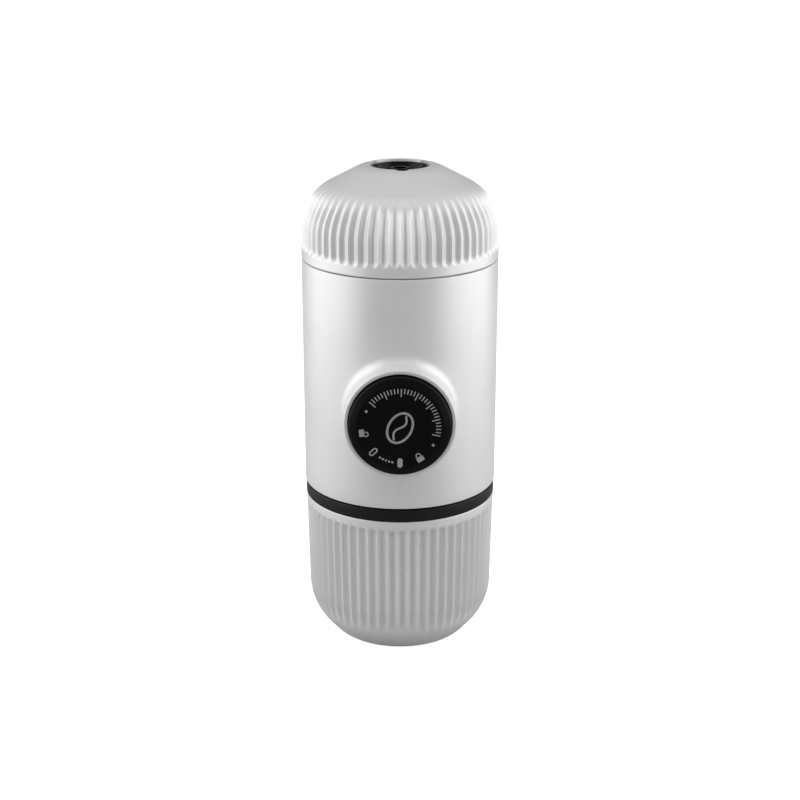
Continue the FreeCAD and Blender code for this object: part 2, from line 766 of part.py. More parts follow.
def add_tank():
    body = new_body("water_tank")
    turned(body, "tank_outside", [
        ("0", "tank_base"),
        ("tank_foot_radius", "tank_base"),
        ("tank_radius", "tank_hip_height"),
        ("tank_radius", "tank_flange_base"),
        ("tank_flange_radius", "tank_flange_base"),
        ("tank_flange_radius", "cup_height"),
        ("tank_neck_radius", "cup_height"),
        ("tank_neck_radius", "tank_neck_top"),
        ("0", "tank_neck_top"),
    ])
    rounded(body, "hip_round", [("tank_radius", "tank_hip_height")], "tank_hip_round")
    rounded(body, "foot_round", [("tank_foot_radius", "tank_base")], "tank_foot_round")
    turned(body, "tank_inside", [
        ("0", "tank_floor_top"),
        ("tank_bore_foot", "tank_floor_top"),
        ("tank_bore", "tank_bore_hip_height"),
        ("tank_bore", "tank_bore_step"),
        ("tank_neck_bore", "tank_flange_base"),
        ("tank_neck_bore", "tank_neck_top"),
        ("0", "tank_neck_top"),
    ], cuts=True)
    rounded(body, "inner_hip_round", [("tank_bore", "tank_bore_hip_height")], "tank_hip_round - tank_wall")
    rounded(body, "inner_foot_round", [("tank_bore_foot", "tank_floor_top")], "tank_foot_round - tank_wall")
    start = "(tank_thread_base - socket_thread_base - thread_lead / 2) / thread_lead * 360"
    thread(body, "tank_thread", "tank_neck_radius", "tank_thread_base", "tank_thread_height", start)

    collar = new_body("tank_collar")
    turned(collar, "collar", [
        ("tank_neck_radius", "cup_height"),
        ("collar_radius", "cup_height"),
        ("collar_radius", "collar_top"),
        ("tank_neck_radius", "collar_top"),
    ])
    rounded(collar, "collar_round", [("collar_radius", "collar_top")], "edge_round")

    grip = new_body("cup_grip_ring")
    turned(grip, "grip_band", [
        ("tank_radius", "grip_base"),
        ("grip_base_radius", "grip_base"),
        ("grip_top_radius", "tank_flange_base"),
        ("tank_radius", "tank_flange_base"),
    ])

    gasket = new_body("tank_gasket", "tank_neck_top")
    turned(gasket, "gasket", [
        ("tank_neck_bore", "0"),
        ("tank_neck_bore + tank_gasket_width", "0"),
        ("tank_neck_bore + tank_gasket_width", "tank_gasket_height"),
        ("tank_neck_bore", "tank_gasket_height"),
    ])


def boss_edges(shape, at_rim):
    """Edges all round the button's boss: at its flat rim, or where it leaves the round wall."""
    found = []
    for number, edge in enumerate(shape.Edges, start=1):
        box = edge.BoundBox
        flat = box.YLength < SAME
        if box.YMax < 0 and box.ZLength > size("boss_radius") and flat == at_rim:
            found.append(f"Edge{number}")
    return found


def add_body_shell():
    body = new_body("body_shell")
    turned(body, "shell_outside", [
        ("0", "body_base"),
        ("shell_radius", "body_base"),
        ("shell_radius", "body_top"),
        ("0", "body_top"),
    ])
    boss = circles(body, "boss_circle", "XZ_Plane", [("0", "pump_height")], "boss_radius")
    raised_block(body, "button_boss", boss, "boss_reach")
    for name, at_rim, radius in (
            ("boss_root", False, "boss_root_round"),
            ("boss_rim", True, "boss_rim_round"),
    ):
        base = body.Tip
        made = body.newObject("PartDesign::Fillet", name)
        made.Base = (base, boss_edges(base.Shape, at_rim))
        bind(made, "Radius", radius)
        doc.recompute()
    turned(body, "shell_inside", [
        ("0", "body_base"),
        ("body_bore", "body_base"),
        ("body_bore", "shoulder_height"),
        ("shoulder_radius", "shoulder_height"),
        ("shoulder_radius", "shoulder_top"),
        ("body_bore", "shoulder_top"),
        ("body_bore", "body_top"),
        ("0", "body_top"),
    ], cuts=True)
    bore = circles(body, "boss_bore_circle", "XZ_Plane", [("0", "pump_height")], "boss_bore", "boss_reach")
    sunk(body, "boss_opening", bore, "boss_reach")
    mark = outline(body, "mark_outline", [
        ("-mark_width / 2", "mark_base"),
        ("mark_width / 2", "mark_base"),
        ("mark_width / 2", "mark_base + mark_length"),
        ("-mark_width / 2", "mark_base + mark_length"),
    ], raised="shell_radius")
    sunk(body, "index_mark", mark, "mark_depth")
    rounded(body, "end_rounds", [("shell_radius", "body_base"), ("shell_radius", "body_top")], "edge_round")


def add_frame():
    body = new_body("inner_frame")
    turned(body, "socket", [
        ("0", "socket_top"),
        ("socket_bore", "socket_top"),
        ("socket_bore", "frame_base"),
        ("frame_radius", "frame_base"),
        ("frame_radius", "floor_top"),
        ("0", "floor_top"),
    ])
    for side in ("-", ""):
        inner = f"{side}(barrel_radius - cheek_overlap)"
        outer = f"{side}(barrel_radius - cheek_overlap + cheek_thickness)"
        name = "left" if side else "right"
        cheek = outline(body, f"{name}_cheek_outline", [
            (inner, "-cheek_front"),
            (outer, "-cheek_front"),
            (outer, "cheek_back"),
            (inner, "cheek_back"),
        ], role="XY_Plane", raised="floor_top - frame_floor / 2")
        raised_block(body, f"{name}_cheek", cheek, "shoulder_height - floor_top + frame_floor / 2")
    turned(body, "top_plate", [
        ("0", "frame_plate_base"),
        ("frame_radius", "frame_plate_base"),
        ("frame_radius", "shoulder_height"),
        ("shoulder_radius - frame_fit", "shoulder_height"),
        ("shoulder_radius - frame_fit", "shoulder_top"),
        ("0", "shoulder_top"),
    ])
    middle = [("0", "pump_height")]
    barrel = circles(body, "barrel_circle", "XZ_Plane", middle, "barrel_radius", "-wall_back_depth")
    raised_block(body, "barrel", barrel, "wall_back_depth + frame_radius")
    bore = circles(body, "barrel_bore_circle", "XZ_Plane", middle, "guide_radius", "frame_radius")
    sunk(body, "barrel_bore", bore, "frame_radius + spring_seat_depth")
    beside = [("-block_screw_offset", "pump_height"), ("block_screw_offset", "pump_height")]
    posts = circles(body, "screw_post_circles", "XZ_Plane", beside,
                    "small_shank_radius + barrel_wall", "-spring_seat_depth")
    raised_block(body, "screw_posts", posts, "block_screw_reach + pump_wall")
    seat = circles(body, "cylinder_hole_circle", "XZ_Plane", middle, "cylinder_radius", "0")
    sunk(body, "cylinder_hole", seat, "wall_back_depth")
    holes = circles(body, "block_screw_circles", "XZ_Plane", beside, "small_shank_radius", "0")
    sunk(body, "block_screw_holes", holes, "wall_back_depth")
    turned(body, "outside_trim", [
        ("frame_radius", "floor_top"),
        ("frame_radius + barrel_radius", "floor_top"),
        ("frame_radius + barrel_radius", "frame_plate_base"),
        ("frame_radius", "frame_plate_base"),
    ], cuts=True)
    inlet = circles(body, "inlet_circle", "XY_Plane", [("0", "port_offset")], "port_radius", "floor_top")
    sunk(body, "inlet_hole", inlet, "frame_floor")
    vent = circles(body, "vent_circle", "XY_Plane", [("vent_x", "vent_y")], "vent_hole_radius", "floor_top")
    sunk(body, "vent_hole", vent, "frame_floor")
    outlet = circles(body, "outlet_circle", "XY_Plane", [("0", "port_offset")], "port_radius", "shoulder_top")
    sunk(body, "outlet_hole", outlet, "shoulder_top - frame_plate_base")
    hold = circles(body, "frame_screw_circle", "XY_Plane", [("frame_screw_place", "frame_screw_place")],
                   "small_shank_radius", "shoulder_top")
    first = sunk(body, "frame_screw_hole", hold, "frame_screw_grip")
    around(body, "frame_screw_holes", first, hold, "frame_screws", "N_Axis")
    thread(body, "socket_thread", "socket_bore", "socket_thread_base", "socket_thread_height", inward=True)


def add_button():
    guide = new_body("piston_guide", "pump_height", spin="lock_turn / 2", across=True)
    turned(guide, "guide_tube", [
        ("guide_bore", "guide_back"),
        ("guide_radius", "guide_back"),
        ("guide_radius", "guide_front"),
        ("guide_bore", "guide_front"),
    ])
    channel = turned(guide, "lug_channel", [
        ("guide_bore", "guide_back"),
        ("channel_radius", "guide_back"),
        ("channel_radius", "guide_front - guide_lip"),
        ("guide_bore", "guide_front - guide_lip"),
    ], angle="channel_angle", cuts=True)
    around(guide, "lug_channels", channel, channel.Profile[0], "lugs")

    cap = new_body("button_cap", "pump_height", across=True)
    turned(cap, "cap", [
        ("0", "button_back_face"),
        ("button_radius - button_rim", "button_back_face"),
        ("button_radius - button_rim", "guide_front"),
        ("button_radius", "guide_front"),
        ("button_radius", "button_reach - button_bevel_depth"),
        ("button_radius - button_bevel_width", "button_reach"),
        ("0", "button_reach"),
    ])

    sleeve = new_body("lock_sleeve", "pump_height", across=True)
    turned(sleeve, "sleeve", [
        ("rod_radius + rod_gap", "sleeve_floor_back"),
        ("sleeve_radius - sleeve_wall", "sleeve_floor_back"),
        ("sleeve_radius - sleeve_wall", "sleeve_back"),
        ("sleeve_radius", "sleeve_back"),
        ("sleeve_radius", "sleeve_head_base"),
        ("sleeve_head_radius", "sleeve_head_base"),
        ("sleeve_head_radius", "button_back_face"),
        ("clip_recess_radius", "button_back_face"),
        ("clip_recess_radius", "clip_recess_floor"),
        ("rod_radius + rod_gap", "clip_recess_floor"),
    ])
    lug = turned(sleeve, "lock_lug", [
        ("sleeve_radius - sleeve_wall / 2", "sleeve_back"),
        ("lug_radius", "sleeve_back"),
        ("lug_radius", "lug_front"),
        ("sleeve_radius - sleeve_wall / 2", "lug_front"),
    ], angle="lug_angle")
    around(sleeve, "lock_lugs", lug, lug.Profile[0], "lugs")


def add_piston():
    rod = new_body("piston_rod", "pump_height", across=True)
    turned(rod, "rod", [
        ("0", "rod_back"),
        ("piston_head_radius", "rod_back"),
        ("piston_head_radius", "seal_height - seal_wire"),
        ("seal_groove_radius", "seal_height - seal_wire"),
        ("seal_groove_radius", "seal_height + seal_wire"),
        ("piston_head_radius", "seal_height + seal_wire"),
        ("piston_head_radius", "piston_head_front"),
        ("rod_radius", "piston_head_front"),
        ("rod_radius", "sleeve_floor_back - rod_collar_height"),
        ("rod_collar_radius", "sleeve_floor_back - rod_collar_height"),
        ("rod_collar_radius", "sleeve_floor_back"),
        ("rod_radius", "sleeve_floor_back"),
        ("rod_radius", "clip_back"),
        ("clip_groove_radius", "clip_back"),
        ("clip_groove_radius", "clip_back + clip_thickness"),
        ("rod_radius", "clip_back + clip_thickness"),
        ("rod_radius", "button_back_face - clip_float"),
        ("0", "button_back_face - clip_float"),
    ])

    clip = new_body("rod_clip", "pump_height", across=True)
    turned(clip, "clip_ring", [
        ("clip_groove_radius", "clip_back"),
        ("clip_radius", "clip_back"),
        ("clip_radius", "clip_back + clip_thickness"),
        ("clip_groove_radius", "clip_back + clip_thickness"),
    ])
    mouth = outline(clip, "clip_mouth_outline", [
        ("-clip_opening / 2", "0"),
        ("clip_opening / 2", "0"),
        ("clip_opening / 2", "clip_radius"),
        ("-clip_opening / 2", "clip_radius"),
    ], role="XY_Plane", raised="clip_back + clip_thickness")
    sunk(clip, "clip_mouth", mouth, "clip_thickness")

    seal = doc.addObject("Part::Torus", "piston_seal")
    seal.Label = "piston_seal"
    bind(seal, "Radius1", "bore_radius - seal_gap - seal_wire")
    bind(seal, "Radius2", "seal_wire")
    seal.Placement = Placement(Vector(), Rotation(Vector(1, 0, 0), 90))
    bind(seal, "Placement.Base.y", "-seal_height")
    bind(seal, "Placement.Base.z", "pump_height")
    nodes.append(seal)

    coil("return_spring", "spring_radius", "spring_wire", "spring_turns",
         "spring_wire - spring_seat_depth", "sleeve_floor_back - spring_wire",
         Placement(Vector(0, 0, size("pump_height")), Rotation(Vector(1, 0, 0), 90)))


def add_pump():
    cylinder = new_body("pump_cylinder", "pump_height", across=True)
    turned(cylinder, "cylinder", [
        ("bore_radius", "-cylinder_end_depth"),
        ("cylinder_radius", "-cylinder_end_depth"),
        ("cylinder_radius", "-spring_seat_depth"),
        ("cylinder_flange_radius", "-spring_seat_depth"),
        ("cylinder_flange_radius", "cylinder_flange_height - spring_seat_depth"),
        ("cylinder_radius", "cylinder_flange_height - spring_seat_depth"),
        ("cylinder_radius", "cylinder_front"),
        ("bore_radius", "cylinder_front"),
    ])

    block = new_body("valve_block", "pump_height", across=True)
    core = outline(block, "block_outline", [
        ("-block_half_width", "-block_half_height"),
        ("block_half_width", "-block_half_height"),
        ("block_half_width", "block_half_height"),
        ("-block_half_width", "block_half_height"),
    ], role="XY_Plane", raised="-block_back_depth")
    raised_block(block, "block", core, "block_back_depth - wall_back_depth")
    ears = outline(block, "ears_outline", [
        ("-block_ear_reach", "-block_ear_half_height"),
        ("block_ear_reach", "-block_ear_half_height"),
        ("block_ear_reach", "block_ear_half_height"),
        ("-block_ear_reach", "block_ear_half_height"),
    ], role="XY_Plane", raised="-wall_back_depth - block_ear_thickness")
    raised_block(block, "ears", ears, "block_ear_thickness")
    seat = circles(block, "cylinder_seat_circle", "XY_Plane", [("0", "0")],
                   "cylinder_radius", "-wall_back_depth")
    sunk(block, "cylinder_seat", seat, "cylinder_end_depth - wall_back_depth")
    chamber = circles(block, "chamber_circle", "XY_Plane", [("0", "0")],
                      "bore_radius", "-cylinder_end_depth")
    sunk(block, "chamber", chamber, "chamber_depth")
    ports = circles(block, "port_circle", "XZ_Plane", [("0", "-port_offset")],
                    "port_radius", "block_half_height")
    sunk(block, "ports", ports, "2 * block_half_height")
    beside = [("-block_screw_offset", "0"), ("block_screw_offset", "0")]
    holes = circles(block, "ear_hole_circles", "XY_Plane", beside,
                    "small_shank_radius + screw_hole_gap / 2", "-wall_back_depth")
    sunk(block, "ear_holes", holes, "block_ear_thickness")

    inlet = new_body("inlet_valve_cage", offset_y="port_offset")
    column(inlet, "floor_top", "inlet_seat", "inlet_roof", "block_base")
    outlet = new_body("outlet_valve_cage", offset_y="port_offset")
    column(outlet, "block_top", "outlet_seat", "outlet_roof", "frame_plate_base")

    for label, seat in (("inlet_ball", "inlet_seat"), ("outlet_ball", "outlet_seat")):
        ball = doc.addObject("Part::Sphere", label)
        ball.Label = label
        bind(ball, "Radius", "valve_ball_radius")
        bind(ball, "Placement.Base.y", "port_offset")
        bind(ball, "Placement.Base.z", f"{seat} + ball_rise")
        nodes.append(ball)

    # The coil's end rests on the ball, where the two round surfaces touch
    rest = "sqrt((valve_ball_radius + valve_spring_wire) ^ 2 - valve_spring_radius ^ 2)"
    coil("outlet_valve_spring", "valve_spring_radius", "valve_spring_wire", "valve_spring_turns",
         f"outlet_seat + ball_rise + {rest}", "outlet_roof - valve_spring_wire",
         Placement(Vector(0, size("port_offset"), 0), Rotation()))


def column(body, base, seat, roof, top):
    """A turned valve cage: ports at both ends, a ball chamber between, and slots past the ball."""
    turned(body, "cage", [
        ("port_radius", base),
        ("column_radius", base),
        ("column_radius", top),
        ("port_radius", top),
        ("port_radius", roof),
        ("valve_chamber_radius", roof),
        ("valve_chamber_radius", seat),
        ("port_radius", seat),
    ])
    slot = outline(body, "bypass_outline", [
        ("-bypass_width / 2", "-valve_chamber_radius"),
        ("bypass_width / 2", "-valve_chamber_radius"),
        ("bypass_width / 2", "valve_chamber_radius"),
        ("-bypass_width / 2", "valve_chamber_radius"),
    ], role="XY_Plane", raised=top)
    sunk(body, "bypass", slot, f"{top} - {roof}")


def add_small_valves():
    strainer = new_body("suction_strainer", "socket_top - strainer_thickness", offset_y="port_offset")
    disc = circles(strainer, "strainer_circle", "XY_Plane", [("0", "0")], "strainer_radius")
    raised_block(strainer, "disc", disc, "strainer_thickness")
    centre = circles(strainer, "centre_hole_circle", "XY_Plane", [("0", "0")],
                     "strainer_hole_radius", "strainer_thickness")
    sunk(strainer, "centre_hole", centre, "strainer_thickness")
    ring = circles(strainer, "ring_hole_circle", "XY_Plane", [("strainer_ring_radius", "0")],
                   "strainer_hole_radius", "strainer_thickness")
    hole = sunk(strainer, "ring_hole", ring, "strainer_thickness")
    around(strainer, "ring_holes", hole, ring, "strainer_holes", "N_Axis")

    vent = new_body("vent_valve", "socket_top", "vent_x", "vent_y")
    turned(vent, "umbrella", [
        ("0", "-vent_cap_height"),
        ("vent_cap_radius", "-vent_cap_height"),
        ("vent_cap_radius", "0"),
        ("vent_hole_radius", "0"),
        ("vent_hole_radius", "frame_floor"),
        ("vent_barb_radius", "frame_floor"),
        ("vent_hole_radius", "frame_floor + vent_barb_height"),
        ("0", "frame_floor + vent_barb_height"),
    ])


def screws(label, places, head, shank, across=False):
    """Identical screws as one group. Head and shank each reach from a low to a high formula."""
    group = []
    turn = Rotation(Vector(1, 0, 0), 90) if across else Rotation()
    for number, (along_x, along_y, base_z) in enumerate(places):
        solids = []
        for kind, radius, (low, high) in (
                ("head", "small_head_radius", head),
                ("shank", "small_shank_radius", shank),
        ):
            part = doc.addObject("Part::Cylinder", f"{label}_{kind}_{number}")
            bind(part, "Radius", radius)
            bind(part, "Height", f"{high} - ({low})")
            part.Placement = Placement(Vector(), turn)
            bind(part, "Placement.Base.x", along_x)
            bind(part, "Placement.Base.y", f"-({low})" if across else along_y)
            bind(part, "Placement.Base.z", base_z if across else low)
            solids.append(part)
        whole = doc.addObject("Part::MultiFuse", f"{label}_{number}")
        whole.Shapes = solids
        group.append(whole)
    together = doc.addObject("Part::Compound", label)
    together.Label = label
    together.Links = group
    nodes.append(together)
    return together


def add_screws():
    places = [(f"{x}frame_screw_place", f"{y}frame_screw_place", "0") for x in ("", "-") for y in ("", "-")]
    seat = "brew_floor - small_head_height"
    head = (seat, "brew_floor - screw_hole_gap / 2")
    screws("frame_screws", places, head, ("shoulder_top - frame_screw_grip", seat))
    places = [("-block_screw_offset", "0", "pump_height"), ("block_screw_offset", "0", "pump_height")]
    back = "-wall_back_depth - block_ear_thickness"
    head = (f"{back} - small_head_height", back)
    screws("block_screws", places, head, (back, "-block_screw_reach"), across=True)


def add_brew_plate():
    plate = new_body("brew_plate")
    turned(plate, "plate", [
        ("0", "shoulder_top"),
        ("frame_radius", "shoulder_top"),
        ("frame_radius", "brew_floor"),
        ("brew_neck_radius", "brew_floor"),
        ("brew_neck_radius", "brew_neck_top"),
        ("brew_neck_bore", "brew_neck_top"),
        ("brew_neck_bore", "brew_floor"),
        ("brew_well_radius", "brew_floor"),
        ("brew_well_radius", "brew_floor - brew_well_depth"),
        ("brew_post_radius", "brew_floor - brew_well_depth"),
        ("brew_post_radius", "brew_floor"),
        ("0", "brew_floor"),
    ])
    middle = circles(plate, "screw_hole_circle", "XY_Plane", [("0", "0")],
                     "screen_screw_radius", "brew_floor")
    sunk(plate, "screen_screw_hole", middle, "screen_screw_depth")
    port = circles(plate, "brew_port_circle", "XY_Plane", [("0", "brew_port_offset")],
                   "port_radius", "brew_floor")
    sunk(plate, "brew_port", port, "brew_flange_height")
    channel = outline(plate, "channel_outline", [
        ("-port_radius", "brew_port_offset - port_radius"),
        ("port_radius", "brew_port_offset - port_radius"),
        ("port_radius", "port_offset + port_radius"),
        ("-port_radius", "port_offset + port_radius"),
    ], role="XY_Plane", raised="shoulder_top + brew_channel_depth")
    sunk(plate, "water_channel", channel, "brew_channel_depth")
    place = [("frame_screw_place", "frame_screw_place")]
    hold = circles(plate, "frame_hole_circle", "XY_Plane", place,
                   "small_shank_radius + screw_hole_gap / 2", "brew_floor")
    first = sunk(plate, "frame_hole", hold, "brew_flange_height")
    around(plate, "frame_holes", first, hold, "frame_screws", "N_Axis")
    head = circles(plate, "frame_head_circle", "XY_Plane", place,
                   "small_head_radius + screw_hole_gap", "brew_floor")
    second = sunk(plate, "frame_head_hole", head, "small_head_height")
    around(plate, "frame_head_holes", second, head, "frame_screws", "N_Axis")
    start = "(brew_thread_base - head_thread_base - thread_lead / 2) / thread_lead * 360"
    thread(plate, "neck_thread", "brew_neck_radius", "brew_thread_base", "neck_thread_height", start)

    screen = new_body("diffuser_screen", "brew_floor")
    disc = circles(screen, "screen_circle", "XY_Plane", [("0", "0")], "screen_radius")
    raised_block(screen, "disc", disc, "screen_thickness")
    hole = circles(screen, "middle_hole_circle", "XY_Plane", [("0", "0")],
                   "screen_screw_radius + screw_hole_gap / 2", "screen_thickness")
    sunk(screen, "middle_hole", hole, "screen_thickness")
    rings = range(2, SIZES["screen_rings"] + 1)
    perforate(screen, "screen_hole_radius", "screen_thickness", "screen_thickness", "screen_ring_pitch", rings)

    screw = new_body("diffuser_screw")
    turned(screw, "screw", [
        ("0", "brew_floor - screen_screw_depth"),
        ("screen_screw_radius", "brew_floor - screen_screw_depth"),
        ("screen_screw_radius", "screen_top"),
        ("screen_screw_head", "screen_top"),
        ("screen_screw_head", "screen_top + screen_screw_head_height"),
        ("0", "screen_top + screen_screw_head_height"),
    ])
    slot = outline(screw, "slot_outline", [
        ("-screen_screw_head", "-screen_slot_width / 2"),
        ("screen_screw_head", "-screen_slot_width / 2"),
        ("screen_screw_head", "screen_slot_width / 2"),
        ("-screen_screw_head", "screen_slot_width / 2"),
    ], role="XY_Plane", raised="screen_top + screen_screw_head_height")
    sunk(screw, "slot", slot, "screen_slot_depth")

    gasket = new_body("brew_gasket", "brew_floor")
    turned(gasket, "gasket", [
        ("basket_radius", "0"),
        ("brew_gasket_outer", "0"),
        ("brew_gasket_outer", "brew_gasket_height"),
        ("basket_radius", "brew_gasket_height"),
    ])


def perforate(body, hole_radius, top, depth, pitch, rings):
    """Rings of small holes through a disc, as many in each ring as keeps them about one pitch apart."""
    for ring in rings:
        first = [(f"{pitch} * {ring}", "0")]
        profile = circles(body, f"hole_circle_{ring}", "XY_Plane", first, hole_radius, top)
        hole = sunk(body, f"hole_{ring}", profile, depth)
        around(body, f"hole_ring_{ring}", hole, profile, f"holes_per_ring * {ring}", "N_Axis")


def add_basket():
    basket = new_body("filter_basket")
    turned(basket, "basket", [
        ("basket_bore", "basket_base"),
        ("basket_flange_radius", "basket_base"),
        ("basket_flange_radius", "basket_base + basket_wall"),
        ("basket_radius", "basket_base + basket_wall"),
        ("basket_radius", "basket_top"),
        ("0", "basket_top"),
        ("0", "basket_top - basket_wall"),
        ("basket_bore", "basket_top - basket_wall"),
    ])
    rounded(basket, "top_round", [("basket_radius", "basket_top")], "basket_edge_round")
    rounded(basket, "inner_top_round", [("basket_bore", "basket_top - basket_wall")],
            "basket_edge_round - basket_wall")
    rings = range(1, SIZES["basket_rings"] + 1)
    perforate(basket, "basket_hole_radius", "basket_top", "basket_wall", "basket_ring_pitch", rings)


def add_outlet_head():
    shell = new_body("head_shell")
    turned(shell, "dome_outside", [
        ("0", "head_base"),
        ("shell_radius", "head_base"),
        ("shell_radius", "head_hip_height"),
        ("head_lip_corner", "total_height"),
        ("0", "total_height"),
    ])
    rounded(shell, "hip_round", [("shell_radius", "head_hip_height")], "head_hip_round")
    rounded(shell, "lip_round", [("head_lip_corner", "total_height")], "head_lip_round")
    touch = "((head_hip_round - head_wall) * tan((90 - head_slope) / 2))"
    turned(shell, "dome_inside", [
        ("0", "head_base"),
        ("head_bore", "head_base"),
        ("head_bore", f"head_bore_hip_height - {touch}"),
        (f"head_bore - {touch} * cos(head_slope)", f"head_bore_hip_height + {touch} * sin(head_slope)"),
        ("head_bore_lip", "head_bore_top"),
        ("0", "head_bore_top"),
    ], cuts=True, arcs={2: ("head_hip_round - head_wall", 1)})
    hole = circles(shell, "outlet_circle", "XY_Plane", [("0", "0")], "outlet_radius", "total_height")
    sunk(shell, "outlet_opening", hole, "head_wall")
    notch = circles(shell, "notch_circle", "XY_Plane", [
        ("notch_offset * sin(notch_phase)", "-notch_offset * cos(notch_phase)"),
    ], "notch_radius", "total_height")
    first = sunk(shell, "rim_notch", notch, "head_wall")
    around(shell, "rim_notches", first, notch, "notches", "N_Axis")
    rounded(shell, "base_round", [("shell_radius", "head_base")], "edge_round")
    inset = "(groove_radius - groove_depth)"
    wall = f"(shell_radius + {inset})"
    path_round = f"(head_hip_round + {inset})"
    touch_z = "(head_hip_height - head_hip_round * tan((90 - head_slope) / 2))"
    sweep = "(head_groove_sweep)"
    end = "(groove_end_angle)"
    bend_end = (
        f"({wall} - {path_round} * (1 - cos{sweep}))",
        f"({touch_z} + {path_round} * sin{sweep})",
    )
    grooves(shell, [
        (f"{wall} + groove_end_round * (1 - cos{end})", f"head_groove_base - groove_end_round * sin{end}"),
        (wall, "head_groove_base"),
        (wall, touch_z),
        bend_end,
        (f"{bend_end[0]} - groove_fade * sin{sweep}", f"{bend_end[1]} + groove_fade * cos{sweep}"),
    ], {0: ("groove_end_round", -1), 2: (path_round, 1)}, "head_groove_phase")

    holder = new_body("basket_holder")
    turned(holder, "holder", [
        ("holder_bore", "holder_base"),
        ("holder_radius", "holder_base"),
        ("holder_radius", "holder_hip_height"),
        ("holder_lip", "head_bore_top"),
        ("holder_outlet", "head_bore_top"),
        ("holder_outlet", "holder_funnel_top"),
        ("holder_skirt_bore", "holder_crown"),
        ("holder_skirt_bore", "basket_base + basket_wall"),
        ("basket_flange_radius", "basket_base + basket_wall"),
        ("basket_flange_radius", "holder_neck_roof"),
        ("holder_bore", "holder_neck_roof"),
    ])
    rounded(holder, "hip_round", [("holder_radius", "holder_hip_height")], "head_hip_round - holder_inset")
    thread(holder, "holder_thread", "holder_bore", "head_thread_base", "head_thread_height", inward=True)

    nozzle = new_body("nozzle")
    turned(nozzle, "nozzle", [
        ("spout_bore", "holder_funnel_top"),
        ("nozzle_radius", "holder_funnel_top"),
        ("nozzle_radius", "head_bore_top"),
        ("nozzle_rim_radius", "head_bore_top"),
        ("nozzle_rim_radius", "nozzle_rim_top"),
        ("nozzle_rim_radius - nozzle_rim_width", "nozzle_rim_top"),
        ("nozzle_dish_radius", "nozzle_floor_top"),
        ("spout_radius", "nozzle_floor_top"),
        ("spout_radius", "total_height - spout_sink"),
        ("spout_bore", "total_height - spout_sink"),
    ])
    web = outline(nozzle, "web_outline", [
        ("spout_radius - web_root", "-web_thickness / 2"),
        ("nozzle_dish_radius + web_root", "-web_thickness / 2"),
        ("nozzle_dish_radius + web_root", "web_thickness / 2"),
        ("spout_radius - web_root", "web_thickness / 2"),
    ], role="XY_Plane", raised="nozzle_floor_top")
    rib = raised_block(nozzle, "web", web, "web_height")
    around(nozzle, "webs", rib, web, "webs", "N_Axis")


add_cup()
add_tank()
add_body_shell()
add_frame()
add_button()
add_piston()
add_pump()
add_small_valves()
add_screws()
add_brew_plate()
add_basket()
add_outlet_head()

doc.removeObject("work")
doc.recompute()

for item in doc.Objects:
    if "Invalid" in item.State or "Error" in item.State:
        raise ValueError(f"{item.Label} did not work out: {item.State}")
for node in nodes:
    if node.Shape.isNull() or not node.Shape.isValid():
        raise ValueError(f"{node.Label} has no sound shape")

os.makedirs("parts", exist_ok=True)
for node in nodes:
    node.Shape.exportStep(f"parts/{node.Label}.step")
    print(f"{node.Label}: {len(node.Shape.Solids)} solid, {node.Shape.Volume:.1f} mm3")
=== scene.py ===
"""Looks for the handheld manual espresso maker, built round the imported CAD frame.

Sizes in this file are in millimetres and are turned into metres when a mesh is made.
"""

import math

import bpy
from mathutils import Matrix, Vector


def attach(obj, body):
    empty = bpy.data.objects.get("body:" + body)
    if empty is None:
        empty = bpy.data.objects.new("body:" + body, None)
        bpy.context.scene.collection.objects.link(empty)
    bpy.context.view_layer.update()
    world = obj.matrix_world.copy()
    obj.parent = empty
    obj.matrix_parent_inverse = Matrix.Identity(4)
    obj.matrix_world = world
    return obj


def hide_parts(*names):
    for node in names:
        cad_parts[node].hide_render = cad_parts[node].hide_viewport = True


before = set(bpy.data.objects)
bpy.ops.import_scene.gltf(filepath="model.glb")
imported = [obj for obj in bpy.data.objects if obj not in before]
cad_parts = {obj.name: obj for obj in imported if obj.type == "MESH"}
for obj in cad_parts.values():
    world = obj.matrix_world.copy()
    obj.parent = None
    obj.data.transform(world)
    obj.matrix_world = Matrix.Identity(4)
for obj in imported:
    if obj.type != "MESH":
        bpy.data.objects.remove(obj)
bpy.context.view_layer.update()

MM = 0.001

# Outside sizes shared with the CAD source
SHELL_RADIUS = 31.0
TOTAL_HEIGHT = 156.0
CUP_HEIGHT = 48.8
CUP_RIM_RADIUS = 30.7
CUP_LEAN = math.radians(1.12)
CUP_CONE = math.radians(49.0)
CUP_HIP_HEIGHT = 10.42
CUP_WALL = 2.0
CUP_FLOOR = 2.4
COLLAR_TOP = 52.8
COLLAR_RADIUS = 30.75
COLLAR_BORE = 26.0
COLLAR_GAP = 0.02
BODY_BASE = 53.35
BODY_TOP = 126.85
BODY_BORE = 29.0
SHOULDER_RADIUS = 25.5
SHOULDER_LOW = 119.0
SHOULDER_HIGH = 121.0
HEAD_BASE = 127.15
HEAD_SLOPE = math.radians(27.8)
HEAD_HIP_HEIGHT = 145.91
HEAD_HIP_ROUND = 15.6
HEAD_LIP_ROUND = 9.8
HEAD_WALL = 2.1
PUMP_HEIGHT = 83.4
BOSS_RADIUS = 17.2
BOSS_BORE = 15.9
BOSS_REACH = 37.0
BOSS_ROOT = 3.4
BOSS_RIM = 0.5
BUTTON_RADIUS = 15.55
BUTTON_REACH = 40.0
EDGE_ROUND = 0.4

# Flutes, cut deeper here than the CAD source's 0.75 mm grooves and with narrower crests
RIBS = 60
RIB_STEPS = 12
VALLEY_POWER = 1.3
CUP_RIB_DEPTH = 1.35
HEAD_RIB_DEPTH = 1.0


# Outlines: lists of (radius, height) points, with rounded corners

